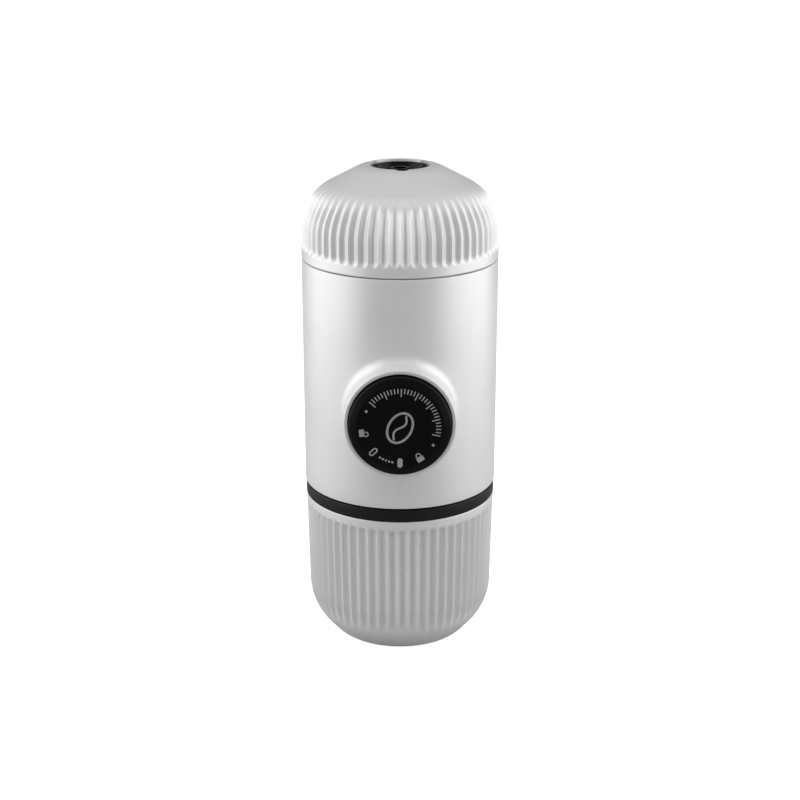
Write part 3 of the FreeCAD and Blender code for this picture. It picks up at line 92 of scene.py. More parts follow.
def rounded_path(corners, step=6.0):
    """Points through corners given as (radius, height, round), each round drawn as an arc."""
    points = []
    for i, (r, z, rounding) in enumerate(corners):
        here = Vector((r, z))
        if not rounding or i in (0, len(corners) - 1):
            points.append(here)
            continue
        back = (Vector(corners[i - 1][:2]) - here).normalized()
        ahead = (Vector(corners[i + 1][:2]) - here).normalized()
        half = back.angle(ahead) / 2
        reach = rounding / math.tan(half)
        start = here + back * reach
        centre = here + (back + ahead).normalized() * (rounding / math.sin(half))
        sweep = math.pi - 2 * half
        count = max(2, math.ceil(math.degrees(sweep) / step))
        sign = 1 if back.x * ahead.y - back.y * ahead.x < 0 else -1
        for k in range(count + 1):
            spoke = start - centre
            angle = sign * sweep * k / count
            turn = Vector((spoke.x * math.cos(angle) - spoke.y * math.sin(angle),
                           spoke.x * math.sin(angle) + spoke.y * math.cos(angle)))
            points.append(centre + turn)
    kept = [points[0]]
    for point in points[1:]:
        if (point - kept[-1]).length > 1e-5:
            kept.append(point)
    return kept


def divided(points, longest, low=-1e9, high=1e9):
    """The same outline with no stretch between two heights longer than a given length."""
    made = [points[0]]
    for first, last in zip(points, points[1:]):
        middle = (first.y + last.y) / 2
        count = 1
        if low <= middle <= high:
            count = max(1, math.ceil((last - first).length / longest))
        made += [first.lerp(last, k / count) for k in range(1, count + 1)]
    return made


def to_mesh(name, points, faces, smooth=True, sharp=40.0):
    """A mesh object from points in millimetres."""
    mesh = bpy.data.meshes.new(name)
    mesh.from_pydata([Vector(p) * MM for p in points], [], faces)
    mesh.validate()
    mesh.update()
    obj = bpy.data.objects.new(name, mesh)
    bpy.context.scene.collection.objects.link(obj)
    if smooth:
        mesh.shade_smooth()
        mesh.set_sharp_from_angle(angle=math.radians(sharp))
    return obj


def turned(name, outline, segments, place=None, closed=False, sharp=40.0):
    """A turned piece. place(angle, index, point) may move each point of the outline at each angle."""
    points = []
    rows = []
    for i, point in enumerate(outline):
        if point.x < 1e-6 and not closed:
            rows.append([len(points)] * segments)
            points.append((0.0, 0.0, point.y))
            continue
        row = []
        for j in range(segments):
            angle = 2 * math.pi * j / segments
            r, z = place(angle, i, point) if place else point
            row.append(len(points))
            points.append((r * math.sin(angle), -r * math.cos(angle), z))
        rows.append(row)
    if closed:
        rows.append(rows[0])
    faces = []
    for low, high in zip(rows, rows[1:]):
        for j in range(segments):
            k = (j + 1) % segments
            corners = [low[j], low[k], high[k], high[j]]
            face = [v for n, v in enumerate(corners) if v not in corners[:n]]
            if len(face) > 2:
                faces.append(face)
    return to_mesh(name, points, faces, sharp=sharp)


# Ribbed grips: rounded valleys sunk into a turned wall

def valley(across, beyond, pitch):
    """Depth share of a valley: 1 on its line, 0 half a pitch away, with a round end."""
    away = math.hypot(across, beyond)
    return math.cos(math.pi * min(away / pitch, 0.5)) ** VALLEY_POWER


def smooth_step(value):
    value = min(1.0, max(0.0, value))
    return value * value * (3 - 2 * value)


def grooved(outline, first, last, depth, phase, round_at, fade_from, fade_to):
    """A place function that sinks valleys into the wall between outline rows first and last."""
    normals = {}
    for i in range(first, last + 1):
        run = outline[min(i + 1, len(outline) - 1)] - outline[max(i - 1, 0)]
        run.normalize()
        normals[i] = Vector((run.y, -run.x))

    def place(angle, i, point):
        if i not in normals:
            return point
        pitch = 2 * math.pi * point.x / RIBS
        share = (angle - phase) / (2 * math.pi) * RIBS
        across = (share - round(share)) * pitch
        upward = 1 if fade_to < fade_from else -1
        beyond = max(0.0, (point.y - round_at) * upward)
        along = (point.y - fade_from) / (fade_to - fade_from)
        sink = depth * valley(across, beyond, pitch) * (1 - smooth_step(along))
        return point - normals[i] * sink

    return place


def make_cup():
    hip = CUP_RIM_RADIUS - (CUP_HEIGHT - CUP_HIP_HEIGHT) * math.tan(CUP_LEAN)
    foot = hip - CUP_HIP_HEIGHT / math.tan(CUP_CONE)
    inner_hip = hip - CUP_WALL
    inner_hip_z = CUP_HIP_HEIGHT + CUP_WALL * math.tan((math.pi / 2 - CUP_CONE) / 2)
    inner_foot = inner_hip - (inner_hip_z - CUP_FLOOR) / math.tan(CUP_CONE)
    outside = rounded_path([
        (0, 0, 0),
        (foot, 0, 6.6),
        (hip, CUP_HIP_HEIGHT, 18.7),
        (CUP_RIM_RADIUS, CUP_HEIGHT, EDGE_ROUND),
        (CUP_RIM_RADIUS - CUP_WALL, CUP_HEIGHT, EDGE_ROUND),
        (inner_hip, inner_hip_z, 16.7),
        (inner_foot, CUP_FLOOR, 4.6),
        (0, CUP_FLOOR, 0),
    ], step=3.0)
    outside = divided(outside, 0.45, 41.5, 46.2)
    outside = divided(outside, 0.55, 4.0, 16.0)
    outside = divided(outside, 1.2, 16.0, 41.5)
    rim = max(range(len(outside)), key=lambda i: outside[i].y)
    wall = [i for i in range(rim) if outside[i].y > 6.0]
    place = grooved(outside, wall[0], wall[-1] - 6, CUP_RIB_DEPTH, math.radians(1.4), 44.4, 14.5, 7.6)
    cup = turned("cup", outside, RIBS * RIB_STEPS, place)
    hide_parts("portable_cup")
    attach(cup, "cup")
    return cup


def lip_height(r):
    """Height of the head's outside near the outlet, where the dome rolls over into a flat lip."""
    centre = SHELL_RADIUS - (TOTAL_HEIGHT - HEAD_HIP_HEIGHT) / math.tan(HEAD_SLOPE)
    centre -= HEAD_LIP_ROUND * math.tan(HEAD_SLOPE / 2)
    out = max(0.0, r - centre)
    bend = HEAD_LIP_ROUND * math.sin(HEAD_SLOPE)
    if out <= bend:
        return TOTAL_HEIGHT - HEAD_LIP_ROUND + math.sqrt(HEAD_LIP_ROUND ** 2 - out * out)
    drop = HEAD_LIP_ROUND * (1 - math.cos(HEAD_SLOPE))
    return TOTAL_HEIGHT - drop - (out - bend) * math.tan(HEAD_SLOPE)


OUTLET_RADIUS = 9.4
NOTCH_RADIUS = 2.1
NOTCH_OFFSET = 8.8
NOTCH_PHASE = math.radians(4.0)


def outlet_edge(angle):
    """Radius of the outlet's edge at an angle: a circle with three round notches."""
    edge = OUTLET_RADIUS
    for k in range(3):
        away = angle - NOTCH_PHASE - k * 2 * math.pi / 3
        away = (away + math.pi) % (2 * math.pi) - math.pi
        side = NOTCH_OFFSET * math.sin(away)
        if abs(away) < math.pi / 2 and abs(side) < NOTCH_RADIUS:
            edge = max(edge, NOTCH_OFFSET * math.cos(away) + math.sqrt(NOTCH_RADIUS ** 2 - side * side))
    return edge


def make_head():
    lip = SHELL_RADIUS - (TOTAL_HEIGHT - HEAD_HIP_HEIGHT) / math.tan(HEAD_SLOPE)
    top_in = TOTAL_HEIGHT - HEAD_WALL
    outside = rounded_path([
        (SHELL_RADIUS - HEAD_WALL, HEAD_BASE, 0),
        (SHELL_RADIUS, HEAD_BASE, EDGE_ROUND),
        (SHELL_RADIUS, HEAD_HIP_HEIGHT, HEAD_HIP_ROUND),
        (lip, TOTAL_HEIGHT, HEAD_LIP_ROUND),
        (OUTLET_RADIUS, TOTAL_HEIGHT, 0),
    ], step=2.5)
    outside = divided(outside, 0.45, 129.5, 134.5)
    outside = divided(outside, 1.2, 134.5, 142.0)
    outside = divided(outside, 0.6, 142.0, 152.0)
    outer = [p for p in outside if p.x > OUTLET_RADIUS + 0.2 or p.y < 150]
    edge = 0.2
    steps = 4
    for k in range(steps + 1):
        turn = math.pi / 2 * k / steps
        r = OUTLET_RADIUS + edge - edge * math.sin(turn)
        outer.append(Vector((r, TOTAL_HEIGHT - edge + edge * math.cos(turn))))
    rows_outside = len(outer)
    inner = rounded_path([
        (OUTLET_RADIUS, top_in, 0),
        (lip - HEAD_WALL * math.tan(HEAD_SLOPE / 2), top_in, 0),
        (SHELL_RADIUS - HEAD_WALL, HEAD_HIP_HEIGHT - HEAD_WALL * math.tan((math.pi / 2 - HEAD_SLOPE) / 2),
         HEAD_HIP_ROUND - HEAD_WALL),
        (SHELL_RADIUS - HEAD_WALL, HEAD_BASE + 0.2, 0),
    ])
    outline = outer + inner
    wall = [i for i in range(rows_outside) if 128.5 < outline[i].y < 152.5]
    sunk = grooved(outline, wall[0], wall[-1], HEAD_RIB_DEPTH, math.radians(3.0), 131.9, 143.0, 151.0)
    reach = 13.0

    def place(angle, i, point):
        if i in range(wall[0], wall[-1] + 1):
            return sunk(angle, i, point)
        if i > rows_outside or point.x > reach or point.y < 150:
            return point
        edge_here = outlet_edge(angle)
        r = edge_here + (point.x - OUTLET_RADIUS) * (reach - edge_here) / (reach - OUTLET_RADIUS)
        z = point.y
        if i < rows_outside:
            z += lip_height(r) - lip_height(point.x)
        return Vector((r, z))

    head = turned("head_cover", outline, RIBS * RIB_STEPS, place, closed=True)
    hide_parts("head_shell")
    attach(head, "head")
    return head


def make_collar():
    outline = rounded_path([
        (COLLAR_BORE, CUP_HEIGHT + COLLAR_GAP, 0),
        (COLLAR_RADIUS, CUP_HEIGHT + COLLAR_GAP, 0.25),
        (COLLAR_RADIUS, COLLAR_TOP, EDGE_ROUND),
        (COLLAR_BORE, COLLAR_TOP, 0),
    ], step=15)
    collar = turned("collar", outline, 240, closed=True)
    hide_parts("tank_collar")
    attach(collar, "tank")
    return collar


# Body: a turned tube whose front wall rises into the button's boss

BOSS_PATCH_ANGLE = math.radians(48.0)
BOSS_PATCH_HEIGHT = 21.0
MARK_HALF_WIDTH = 0.5
MARK_LOW = 57.3
MARK_HIGH = 61.9
MARK_DEPTH = 0.15


def boss_foot(across):
    """Where the boss's root round meets the body, for a direction whose share along X is across."""
    low = BOSS_RADIUS
    high = BOSS_RADIUS + BOSS_ROOT + 0.01
    for _ in range(40):
        away = (low + high) / 2
        x = away * across
        normal = x / SHELL_RADIUS * across
        depth = math.sqrt(SHELL_RADIUS ** 2 - x * x) / SHELL_RADIUS
        lean = normal / math.hypot(normal, depth)
        if away + BOSS_ROOT * lean > BOSS_RADIUS + BOSS_ROOT:
            high = away
        else:
            low = away
    return away


def make_body():
    step = math.radians(2.0)
    half = round(BOSS_PATCH_ANGLE / step)
    columns = [k * step for k in range(-half, half + 1)]
    fine = [MARK_HALF_WIDTH - 0.1, MARK_HALF_WIDTH + 0.1, MARK_HALF_WIDTH + 0.35]
    columns += [s * x / SHELL_RADIUS for x in fine for s in (-1, 1)]
    columns.sort()
    front = len(columns)
    back = round((2 * math.pi - 2 * BOSS_PATCH_ANGLE) / step)
    columns += [BOSS_PATCH_ANGLE + k * step for k in range(1, back)]

    low = PUMP_HEIGHT - BOSS_PATCH_HEIGHT
    high = PUMP_HEIGHT + BOSS_PATCH_HEIGHT
    patch_rows = 24
    outer = rounded_path([
        (BODY_BORE, BODY_BASE, 0),
        (SHELL_RADIUS, BODY_BASE, EDGE_ROUND),
        (SHELL_RADIUS, low, 0),
    ], 15)
    marks = [MARK_LOW - 0.15, MARK_LOW + 0.1, MARK_HIGH - 0.1, MARK_HIGH + 0.15]
    outer = outer[:-1] + [Vector((SHELL_RADIUS, z)) for z in marks] + [outer[-1]]
    first_outer = len(outer) - 1
    outer += [Vector((SHELL_RADIUS, low + (high - low) * k / patch_rows)) for k in range(1, patch_rows + 1)]
    outer += rounded_path([
        (SHELL_RADIUS, high + 1, 0),
        (SHELL_RADIUS, BODY_TOP, EDGE_ROUND),
        (BODY_BORE, BODY_TOP, 0),
    ], 15)
    inner = [
        Vector((BODY_BORE, SHOULDER_HIGH)),
        Vector((SHOULDER_RADIUS, SHOULDER_HIGH)),
        Vector((SHOULDER_RADIUS, SHOULDER_LOW)),
        Vector((BODY_BORE, SHOULDER_LOW)),
    ]
    first_inner = len(outer) + len(inner)
    inner += [Vector((BODY_BORE, high - (high - low) * k / patch_rows)) for k in range(patch_rows + 1)]
    outline = outer + inner

    points = []
    faces = []

    def add(x, y, z):
        points.append((x, y, z))
        return len(points) - 1

    grid = []
    for point in outline:
        row = []
        for angle in columns:
            r = point.x
            across = abs(SHELL_RADIUS * math.sin(angle))
            beside = abs(angle) < 0.1 and across < MARK_HALF_WIDTH
            if r == SHELL_RADIUS and beside and MARK_LOW < point.y < MARK_HIGH:
                r -= MARK_DEPTH
            row.append(add(r * math.sin(angle), -r * math.cos(angle), point.y))
        grid.append(row)

    def in_patch(i, j):
        in_outer = first_outer <= i < first_outer + patch_rows
        in_inner = first_inner <= i < first_inner + patch_rows
        return (in_outer or in_inner) and j < front - 1

    for i in range(len(grid)):
        upper = grid[(i + 1) % len(grid)]
        for j in range(len(columns)):
            k = (j + 1) % len(columns)
            if not in_patch(i, j):
                faces.append([grid[i][j], grid[i][k], upper[k], upper[j]])

    def border(first, upward):
        """The patch's border in one wall, anticlockwise from its lower left corner as (row, column)."""
        rows = range(first, first + patch_rows + 1) if upward else range(first + patch_rows, first - 1, -1)
        rows = list(rows)
        path = [(rows[0], j) for j in range(front - 1)]
        path += [(i, front - 1) for i in rows[:-1]]
        path += [(rows[-1], j) for j in range(front - 1, 0, -1)]
        path += [(i, 0) for i in rows[:0:-1]]
        return path

    def ring(spots):
        return [add(*spot) for spot in spots]

    def join(one, two, flip=False):
        for j in range(len(one)):
            k = (j + 1) % len(one)
            face = [one[j], one[k], two[k], two[j]]
            faces.append(face[::-1] if flip else face)

    outside = border(first_outer, True)
    inside = border(first_inner, False)
    spots = [
        (math.sin(columns[j]) * SHELL_RADIUS, outline[i].y - PUMP_HEIGHT, columns[j])
        for i, j in outside
    ]
    ways = []
    for x, z, angle in spots:
        length = math.hypot(x, z)
        ways.append((x / length, z / length))

    def on_wall(away, way, radius):
        x = away * way[0]
        return (x, -math.sqrt(radius * radius - x * x), PUMP_HEIGHT + away * way[1])

    rings = [[grid[i][j] for i, j in outside]]
    feet = [boss_foot(way[0]) for way in ways]
    for share in (0.25, 0.5, 0.75, 1.0):
        now = []
        for (x, z, angle), way, foot in zip(spots, ways, feet):
            edge_angle = math.asin(foot * way[0] / SHELL_RADIUS)
            turn = angle + (edge_angle - angle) * share
            height = z + (foot * way[1] - z) * share
            now.append((SHELL_RADIUS * math.sin(turn), -SHELL_RADIUS * math.cos(turn), PUMP_HEIGHT + height))
        rings.append(ring(now))
    root_steps = 10
    for k in range(1, root_steps + 1):
        now = []
        for way, foot in zip(ways, feet):
            spot = on_wall(foot, way, SHELL_RADIUS)
            centre_away = BOSS_RADIUS + BOSS_ROOT
            rise = math.sqrt(max(0.0, BOSS_ROOT ** 2 - (centre_away - foot) ** 2))
            centre_y = spot[1] - rise
            start = math.atan2(rise, foot - centre_away)
            angle = start + (math.pi - start) * k / root_steps
            away = centre_away + BOSS_ROOT * math.cos(angle)
            now.append((away * way[0], centre_y + BOSS_ROOT * math.sin(angle), PUMP_HEIGHT + away * way[1]))
        rings.append(ring(now))
    rim = rounded_path([
        (BOSS_RADIUS, -BOSS_REACH + 2.0, 0),
        (BOSS_RADIUS, -BOSS_REACH, BOSS_RIM),
        (BOSS_BORE, -BOSS_REACH, 0.2),
        (BOSS_BORE, -30.0, 0),
    ], 12)
    for away, y in rim:
        rings.append(ring([(away * way[0], y, PUMP_HEIGHT + away * way[1]) for way in ways]))
    rings.append(ring([on_wall(BOSS_BORE, way, BODY_BORE) for way in ways]))
    rings.append([grid[i][j] for i, j in inside])
    for one, two in zip(rings, rings[1:]):
        join(one, two)

    body = to_mesh("body_cover", points, faces, sharp=50)
    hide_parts("body_shell")
    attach(body, "main")
    return body


def facing_out(obj, height):
    """Turn a piece made about the upright axis so that it points out of the button, along -Y."""
    for vertex in obj.data.vertices:
        x, y, z = vertex.co
        vertex.co = (x, -z, y + height * MM)
    obj.data.update()
    return obj


PRINT_SINK = 0.04


def make_button():
    face = BUTTON_REACH - PRINT_SINK
    outline = rounded_path([
        (0, 38.0, 0),
        (14.0, 38.0, 0),
        (14.0, 36.0, 0),
        (BUTTON_RADIUS, 36.0, 0.15),
        (BUTTON_RADIUS, BUTTON_REACH - 1.2, 0.7),
        (BUTTON_RADIUS - 2.35, face, 1.5),
        (0, face, 0),
    ], step=5)
    button = facing_out(turned("button_face", outline, 240), PUMP_HEIGHT)
    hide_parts("button_cap")
    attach(button, "button")
    return button


# Marks on the button: strokes of a given width, a hair proud of the face

class Print:
    def __init__(self):
        self.points = []
        self.faces = []

    def fill(self, loop):
        """A flat shape from a loop of (x, z) points, anticlockwise as seen from the front."""
        low = BUTTON_REACH - PRINT_SINK - 0.05
        high = BUTTON_REACH - 0.005
        start = len(self.points)
        count = len(loop)
        for reach in (low, high):
            self.points += [(x, -reach, PUMP_HEIGHT + z) for x, z in loop]
        self.faces.append([start + count + j for j in range(count)])
        self.faces.append([start + j for j in range(count)][::-1])
        for j in range(count):
            k = (j + 1) % count
            self.faces.append([start + j, start + k, start + count + k, start + count + j])

    def stroke(self, path, width, closed=False):
        """A ribbon along a path, laid as short flat shapes between its two edges."""
        path = [Vector(p) for p in path]
        count = len(path)
        left = []
        right = []
        for i, point in enumerate(path):
            before = path[i - 1] if closed or i else point
            after = path[(i + 1) % count] if closed or i < count - 1 else point
            run = (after - before).normalized()
            side = Vector((-run.y, run.x)) * (width / 2)
            left.append(point + side)
            right.append(point - side)
        for i in range(count if closed else count - 1):
            k = (i + 1) % count
            self.fill([right[i], right[k], left[k], left[i]])
        if not closed:
            for i, j in ((0, 1), (-1, -2)):
                away = (path[i] - path[j]).normalized()
                start = math.atan2(away.y, away.x) - math.pi / 2
                turn = [start + math.pi * k / 8 for k in range(9)]
                self.fill([path[i] + Vector((math.cos(a), math.sin(a))) * (width / 2) for a in turn])

    def dot(self, centre, radius, count=16):
        turn = [2 * math.pi * k / count for k in range(count)]
        self.fill([(centre[0] + radius * math.cos(a), centre[1] + radius * math.sin(a)) for a in turn])


def round_spot(radius, angle):
    """A point of the button's face. The angle runs clockwise from the top, as seen from the front."""
    angle = math.radians(angle)
    return Vector((radius * math.sin(angle), radius * math.cos(angle)))


def placed(path, angle, radius=11.2):
    """A small drawing laid on the ring of marks, its top towards the button's middle."""
    middle = round_spot(radius, angle)
    up = -middle.normalized()
    right = Vector((up.y, -up.x))
    return [middle + right * x + up * y for x, y in path]


def arc(centre, radius, start, stop, count):
    angles = [math.radians(start + (stop - start) * k / count) for k in range(count + 1)]
    return [(centre[0] + radius * math.cos(a), centre[1] + radius * math.sin(a)) for a in angles]


def padlock(marks, angle, shift):
    """A plain padlock. A shift above 0 lifts its bow out to one side, which says open."""
    marks.fill(placed([(-1.0, -1.25), (1.0, -1.25), (1.15, -1.1), (1.15, 0.2), (1.0, 0.35), (-1.0, 0.35),
                       (-1.15, 0.2), (-1.15, -1.1)], angle))
    bow = [(-0.68 + shift, 0.2)] + arc((shift, 0.75), 0.68, 180, 0, 8) + [(0.68 + shift, 0.2 + shift * 0.45)]
    marks.stroke(placed(bow, angle), 0.34)


def make_marks():
    marks = Print()
    marks.stroke([round_spot(10.45, 180), round_spot(11.95, 180)], 1.6)
    for k in range(5):
        marks.dot(round_spot(11.2, 191.9 + 5.2 * k), 0.34)
    half = 0.62
    length = 0.72
    pill = arc((0, length), half, 0, 180, 8) + arc((0, -length), half, 180, 360, 8)
    marks.stroke(placed(pill, 226.5, 11.1), 0.42, closed=True)
    padlock(marks, 148.0, 0.0)
    padlock(marks, 262.0, 0.55)
    for angle in (118.5, 297.5):
        marks.fill([
            round_spot(11.4, angle) + Vector(p)
            for p in ((-0.55, 0), (0, -0.55), (0.55, 0), (0, 0.55))
        ])
    ticks = 31
    for k in range(ticks):
        angle = -48.0 + 150.0 * k / (ticks - 1)
        outer = 12.3
        inner = 10.0 if k % 5 == 0 else 11.0
        marks.stroke([round_spot(inner, angle), round_spot(outer, angle)], 0.34)
    tilt = math.radians(-28.0)

    def tipped(x, y):
        return (x * math.cos(tilt) - y * math.sin(tilt), x * math.sin(tilt) + y * math.cos(tilt))

    turn = [2 * math.pi * k / 40 for k in range(40)]
    marks.stroke([tipped(3.5 * math.cos(a), 5.0 * math.sin(a)) for a in turn], 0.7, closed=True)
    crease = [(0.95 * math.sin(math.pi * y / 4.0), y) for y in [-4.1 + 8.2 * k / 20 for k in range(21)]]
    marks.stroke([tipped(x, y) for x, y in crease], 0.6)
    made = to_mesh("button_marks", marks.points, marks.faces, smooth=False)
    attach(made, "button")
    return made


def make_nozzle():
    floor = 151.8
    outline = rounded_path([
        (2.0, 150.6, 0),
        (8.0, 150.6, 0),
        (8.0, 153.9, 0),
        (9.25, 153.9, 0.1),
        (9.25, 155.3, 0.3),
        (8.3, 155.3, 0.3),
        (7.0, floor, 0.8),
        (3.2, floor, 0.5),
        (3.2, 154.9, 0.3),
        (2.0, 154.9, 0.3),
    ], step=15)
    ring = turned("outlet_nozzle", outline, 144, closed=True)
    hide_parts("nozzle")
    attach(ring, "head")
    webs = []
    for k in range(3):
        angle = k * 2 * math.pi / 3
        along = Vector((math.cos(angle), math.sin(angle), 0))
        side = Vector((-along.y, along.x, 0))
        half = 0.5
        profile = [(-half, floor - 0.1), (half, floor - 0.1), (half, floor + 1.5),
                   (half - 0.15, floor + 1.72),
                   (0, floor + 1.8), (0.15 - half, floor + 1.72), (-half, floor + 1.5)]
        points = [along * r + side * w + Vector((0, 0, z)) for r in (2.8, 7.5) for w, z in profile]
        count = len(profile)
        faces = [[j for j in range(count)], [count + j for j in range(count)][::-1]]
        faces += [[j, (j + 1) % count, count + (j + 1) % count, count + j][::-1] for j in range(count)]
        web = to_mesh(f"outlet_web_{k + 1}", points, faces, sharp=30)
        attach(web, "head")
        webs.append(web)
    return [ring] + webs


# Materials

def new_material(name, colour, roughness, metallic=0.0, specular=0.5):
    """A surface whose colour, roughness and bump will be varied by nodes."""
    material = bpy.data.materials.new(name)
    material.use_nodes = True
    nodes = material.node_tree.nodes
    shader = nodes["Principled BSDF"]
    shader.inputs["Base Color"].default_value = (*colour, 1.0)
    shader.inputs["Roughness"].default_value = roughness
    shader.inputs["Metallic"].default_value = metallic
    shader.inputs["Specular IOR Level"].default_value = specular
    return material


def noise(material, scale, detail=4.0, stretch=(1, 1, 1)):
    """Noise in metres over the piece, stretched along an axis where asked."""
    nodes = material.node_tree.nodes
    links = material.node_tree.links
    place = nodes.new("ShaderNodeTexCoord")
    mapping = nodes.new("ShaderNodeMapping")
    mapping.inputs["Scale"].default_value = stretch
    texture = nodes.new("ShaderNodeTexNoise")
    texture.inputs["Scale"].default_value = scale
    texture.inputs["Detail"].default_value = detail
    links.new(place.outputs["Object"], mapping.inputs["Vector"])
    links.new(mapping.outputs["Vector"], texture.inputs["Vector"])
    return texture.outputs["Fac"]


def vary_roughness(material, source, low, high):
    nodes = material.node_tree.nodes
    spread = nodes.new("ShaderNodeMapRange")
    spread.inputs["From Min"].default_value = 0.3
    spread.inputs["From Max"].default_value = 0.7
    spread.inputs["To Min"].default_value = low
    spread.inputs["To Max"].default_value = high
    links = material.node_tree.links
    links.new(source, spread.inputs["Value"])
    links.new(spread.outputs["Result"], nodes["Principled BSDF"].inputs["Roughness"])


def vary_colour(material, source, one, two):
    nodes = material.node_tree.nodes
    ramp = nodes.new("ShaderNodeValToRGB")
    ramp.color_ramp.elements[0].position = 0.35
    ramp.color_ramp.elements[0].color = (*one, 1.0)
    ramp.color_ramp.elements[1].position = 0.65
    ramp.color_ramp.elements[1].color = (*two, 1.0)
    links = material.node_tree.links
    links.new(source, ramp.inputs["Fac"])
    links.new(ramp.outputs["Color"], nodes["Principled BSDF"].inputs["Base Color"])


def bump(material, source, height, strength=1.0):
    nodes = material.node_tree.nodes
    node = nodes.new("ShaderNodeBump")
    node.inputs["Strength"].default_value = strength
    node.inputs["Distance"].default_value = height
    links = material.node_tree.links
    links.new(source, node.inputs["Height"])
    links.new(node.outputs["Normal"], nodes["Principled BSDF"].inputs["Normal"])


def shade(colour, factor):
    return tuple(c * factor for c in colour)


def moulded(name, colour, roughness, grain=0.00002, grain_scale=6000, spread=0.04, **more):
    """Moulded plastic or rubber: fine skin grain, and a faint drift of colour and gloss."""
    material = new_material(name, colour, roughness, **more)
    skin = noise(material, grain_scale, 2.0)
    drift = noise(material, 60, 3.0)
    vary_roughness(material, drift, roughness - 0.03, roughness + 0.03)
    vary_colour(material, drift, shade(colour, 1 - spread), shade(colour, 1 + spread / 2))
    bump(material, skin, grain, 0.5)
    return material


def brushed(name, colour, roughness, stretch):
    """Metal with fine lines along one direction."""
    material = new_material(name, colour, roughness, metallic=1.0)
    lines = noise(material, 900, 3.0, stretch)
    vary_roughness(material, lines, roughness - 0.08, roughness + 0.1)
    vary_colour(material, lines, shade(colour, 0.92), colour)
    bump(material, lines, 0.00001, 0.4)
    return material


WHITE = (0.75, 0.75, 0.755)
BLACK = (0.012, 0.012, 0.013)

white = moulded("satin_white", WHITE, 0.42, spread=0.012, grain=0.000008, grain_scale=9000, metallic=0.3)
collar_black = moulded("collar_black", (0.004, 0.004, 0.0045), 0.42, grain=0.00001, specular=0.25)
button_black = moulded("button_black", (0.002, 0.0021, 0.0025), 0.36, grain=0.000006, grain_scale=9000,
                       specular=0.1)
inner_black = moulded("inner_black", BLACK, 0.5)
outlet_black = moulded("outlet_black", (0.003, 0.003, 0.003), 0.25, grain=0.000004, specular=0.15)
frame_grey = moulded("frame_grey", (0.12, 0.12, 0.125), 0.48, grain=0.00003, grain_scale=4000)
smoke = moulded("tank_smoke", (0.07, 0.072, 0.078), 0.24, grain=0.000004)
smoke.node_tree.nodes["Principled BSDF"].inputs["Transmission Weight"].default_value = 0.35
rubber = moulded("seal_rubber", (0.03, 0.03, 0.031), 0.62, grain=0.00002)
silver_print = moulded(
    "print_silver", (0.33, 0.33, 0.335), 0.45, spread=0.08, grain=0.000006, grain_scale=9000
)
steel = brushed("brushed_steel", (0.6, 0.6, 0.61), 0.3, (1, 1, 0.06))
wire_steel = brushed("wire_steel", (0.56, 0.56, 0.57), 0.27, (1, 0.2, 1))
sheet_steel = brushed("sheet_steel", (0.66, 0.66, 0.67), 0.34, (0.05, 1, 1))
ball_steel = brushed("ball_steel", (0.7, 0.7, 0.71), 0.12, (1, 1, 1))


def give(obj, material):
    obj.data.materials.clear()
    obj.data.materials.append(material)


for obj in (make_cup(), make_head(), make_body()):
    give(obj, white)
give(make_collar(), collar_black)
give(make_button(), button_black)
give(make_marks(), silver_print)
for obj in make_nozzle():
    give(obj, outlet_black)

CARRIED = {
    "water_tank": smoke, "cup_grip_ring": rubber, "tank_gasket": rubber, "inner_frame": frame_grey,
    "piston_guide": inner_black, "lock_sleeve": inner_black, "piston_rod": steel, "rod_clip": steel,
    "piston_seal": rubber, "return_spring": wire_steel, "pump_cylinder": steel, "valve_block": frame_grey,
    "inlet_valve_cage": frame_grey, "outlet_valve_cage": frame_grey, "inlet_ball": ball_steel,
    "outlet_ball": ball_steel, "outlet_valve_spring": wire_steel, "suction_strainer": sheet_steel,
    "vent_valve": rubber, "frame_screws": steel, "block_screws": steel, "brew_plate": inner_black,
    "diffuser_screen": sheet_steel, "diffuser_screw": steel, "brew_gasket": rubber,
    "filter_basket": sheet_steel, "basket_holder": inner_black,
}
for name, material in CARRIED.items():
    give(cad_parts[name], material)


# Floor, light and camera

def area_light(name, place, aim, width, height, power):
    light = bpy.data.lights.new(name, "AREA")
    light.shape = "RECTANGLE"
    light.size = width
    light.size_y = height
    light.energy = power
    obj = bpy.data.objects.new(name, light)
    obj.location = place
    obj.rotation_euler = (Vector(aim) - Vector(place)).to_track_quat("-Z", "Z").to_euler()
    bpy.context.scene.collection.objects.link(obj)
    return obj


# Floor and backdrop in metres, with the shades that the camera and all other rays meet
FLOOR_FRONT = -3.0
FLOOR_BACK = 2.4
FLOOR_BEND = 0.8
BEND_STEPS = 12
BACKDROP_TOP = 3.0
FLOOR_HALF_WIDTH = 4.0
FLOOR_PAPER = 0.8
FLOOR_GLOW = 0.85
FLOOR_DIM = 0.45
SKY_LIGHT = 0.42
BACKDROP_LIGHT = 1.0


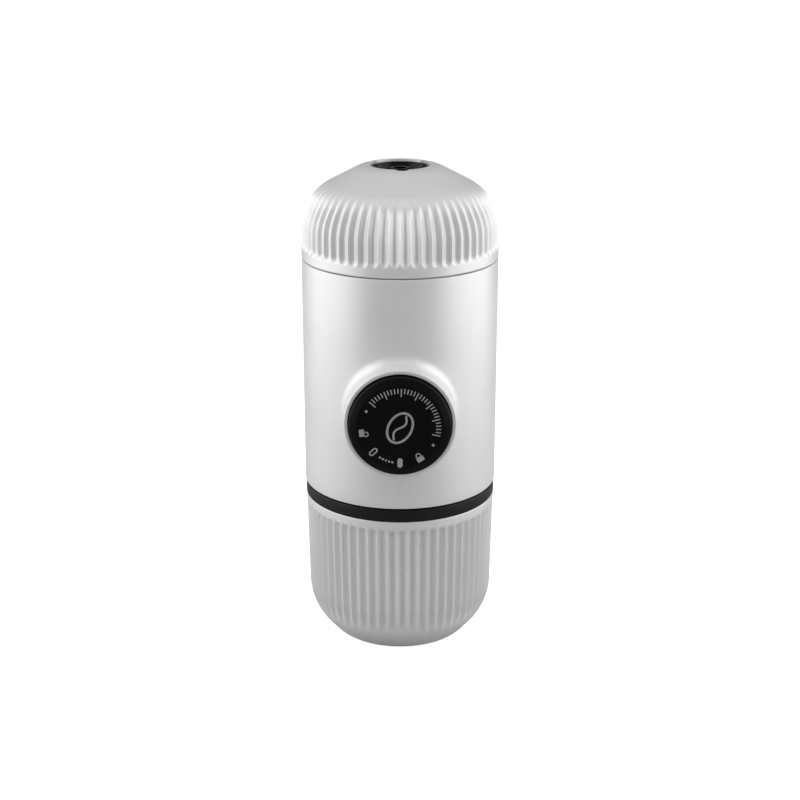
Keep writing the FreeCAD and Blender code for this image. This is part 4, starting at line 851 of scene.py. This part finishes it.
def make_floor():
    """A pale floor that curves up behind: near white to the camera, dimmer paper to all other rays."""
    outline = [(FLOOR_FRONT, 0.0), (FLOOR_BACK, 0.0)]
    for k in range(1, BEND_STEPS + 1):
        turn = math.pi / 2 * k / BEND_STEPS
        y = FLOOR_BACK + FLOOR_BEND * math.sin(turn)
        outline.append((y, FLOOR_BEND - FLOOR_BEND * math.cos(turn)))
    outline.append((FLOOR_BACK + FLOOR_BEND, BACKDROP_TOP))
    sides = (-FLOOR_HALF_WIDTH, FLOOR_HALF_WIDTH)
    points = [(x / MM, y / MM, z / MM) for y, z in outline for x in sides]
    faces = [[2 * i, 2 * i + 1, 2 * i + 3, 2 * i + 2] for i in range(len(outline) - 1)]
    floor = to_mesh("studio_floor", points, faces)
    material = bpy.data.materials.new("studio_floor")
    material.use_nodes = True
    nodes = material.node_tree.nodes
    links = material.node_tree.links
    nodes.remove(nodes["Principled BSDF"])
    paper = nodes.new("ShaderNodeBsdfDiffuse")
    paper.inputs["Color"].default_value = (FLOOR_PAPER, FLOOR_PAPER, FLOOR_PAPER, 1.0)
    dim = nodes.new("ShaderNodeBsdfDiffuse")
    dim.inputs["Color"].default_value = (FLOOR_DIM, FLOOR_DIM, FLOOR_DIM, 1.0)
    glow = nodes.new("ShaderNodeEmission")
    glow.inputs["Strength"].default_value = FLOOR_GLOW
    both = nodes.new("ShaderNodeAddShader")
    pick = nodes.new("ShaderNodeMixShader")
    seen = nodes.new("ShaderNodeLightPath")
    links.new(paper.outputs[0], both.inputs[0])
    links.new(glow.outputs[0], both.inputs[1])
    links.new(seen.outputs["Is Camera Ray"], pick.inputs[0])
    links.new(dim.outputs[0], pick.inputs[1])
    links.new(both.outputs[0], pick.inputs[2])
    links.new(pick.outputs[0], nodes["Material Output"].inputs["Surface"])
    give(floor, material)


make_floor()

# One box on each side, hidden from the camera, and one from above in front
SIDE_BOX_REACH = 0.3
SIDE_BOX_AIM = (0.0, -0.05, 0.225)
TOP_BOX_AIM = (0.0, 0.0, 0.09)
for side in (-1, 1):
    box_place = (side * SIDE_BOX_REACH, SIDE_BOX_AIM[1], SIDE_BOX_AIM[2])
    side_box = area_light(f"side_box_{side + 2}", box_place, SIDE_BOX_AIM, width=0.44, height=0.45, power=1.1)
    side_box.visible_camera = False
area_light("top_box", (0.0, -0.15, 0.8), TOP_BOX_AIM, width=0.5, height=0.5, power=0.6)

world = bpy.data.worlds.new("studio")
bpy.context.scene.world = world
world.use_nodes = True
world_nodes = world.node_tree.nodes
world_links = world.node_tree.links
sky = world_nodes["Background"]
sky.inputs["Color"].default_value = (1, 1, 1, 1)
sky.inputs["Strength"].default_value = SKY_LIGHT
backdrop = world_nodes.new("ShaderNodeBackground")
backdrop.inputs["Color"].default_value = (1, 1, 1, 1)
backdrop.inputs["Strength"].default_value = BACKDROP_LIGHT
path = world_nodes.new("ShaderNodeLightPath")
share = world_nodes.new("ShaderNodeMixShader")
world_links.new(path.outputs["Is Camera Ray"], share.inputs[0])
world_links.new(sky.outputs[0], share.inputs[1])
world_links.new(backdrop.outputs[0], share.inputs[2])
world_links.new(share.outputs[0], world_nodes["World Output"].inputs["Surface"])

camera_data = bpy.data.cameras.new("camera")
camera_data.sensor_width = 36.0
camera_data.lens = 73.0
camera = bpy.data.objects.new("camera", camera_data)
camera.location = (0.0, -0.4995, 0.24635)
camera.rotation_euler = (math.radians(90.0 - 18.53), 0.0, 0.0)
bpy.context.scene.collection.objects.link(camera)
bpy.context.scene.camera = camera
bpy.context.scene.view_settings.view_transform = "Standard"
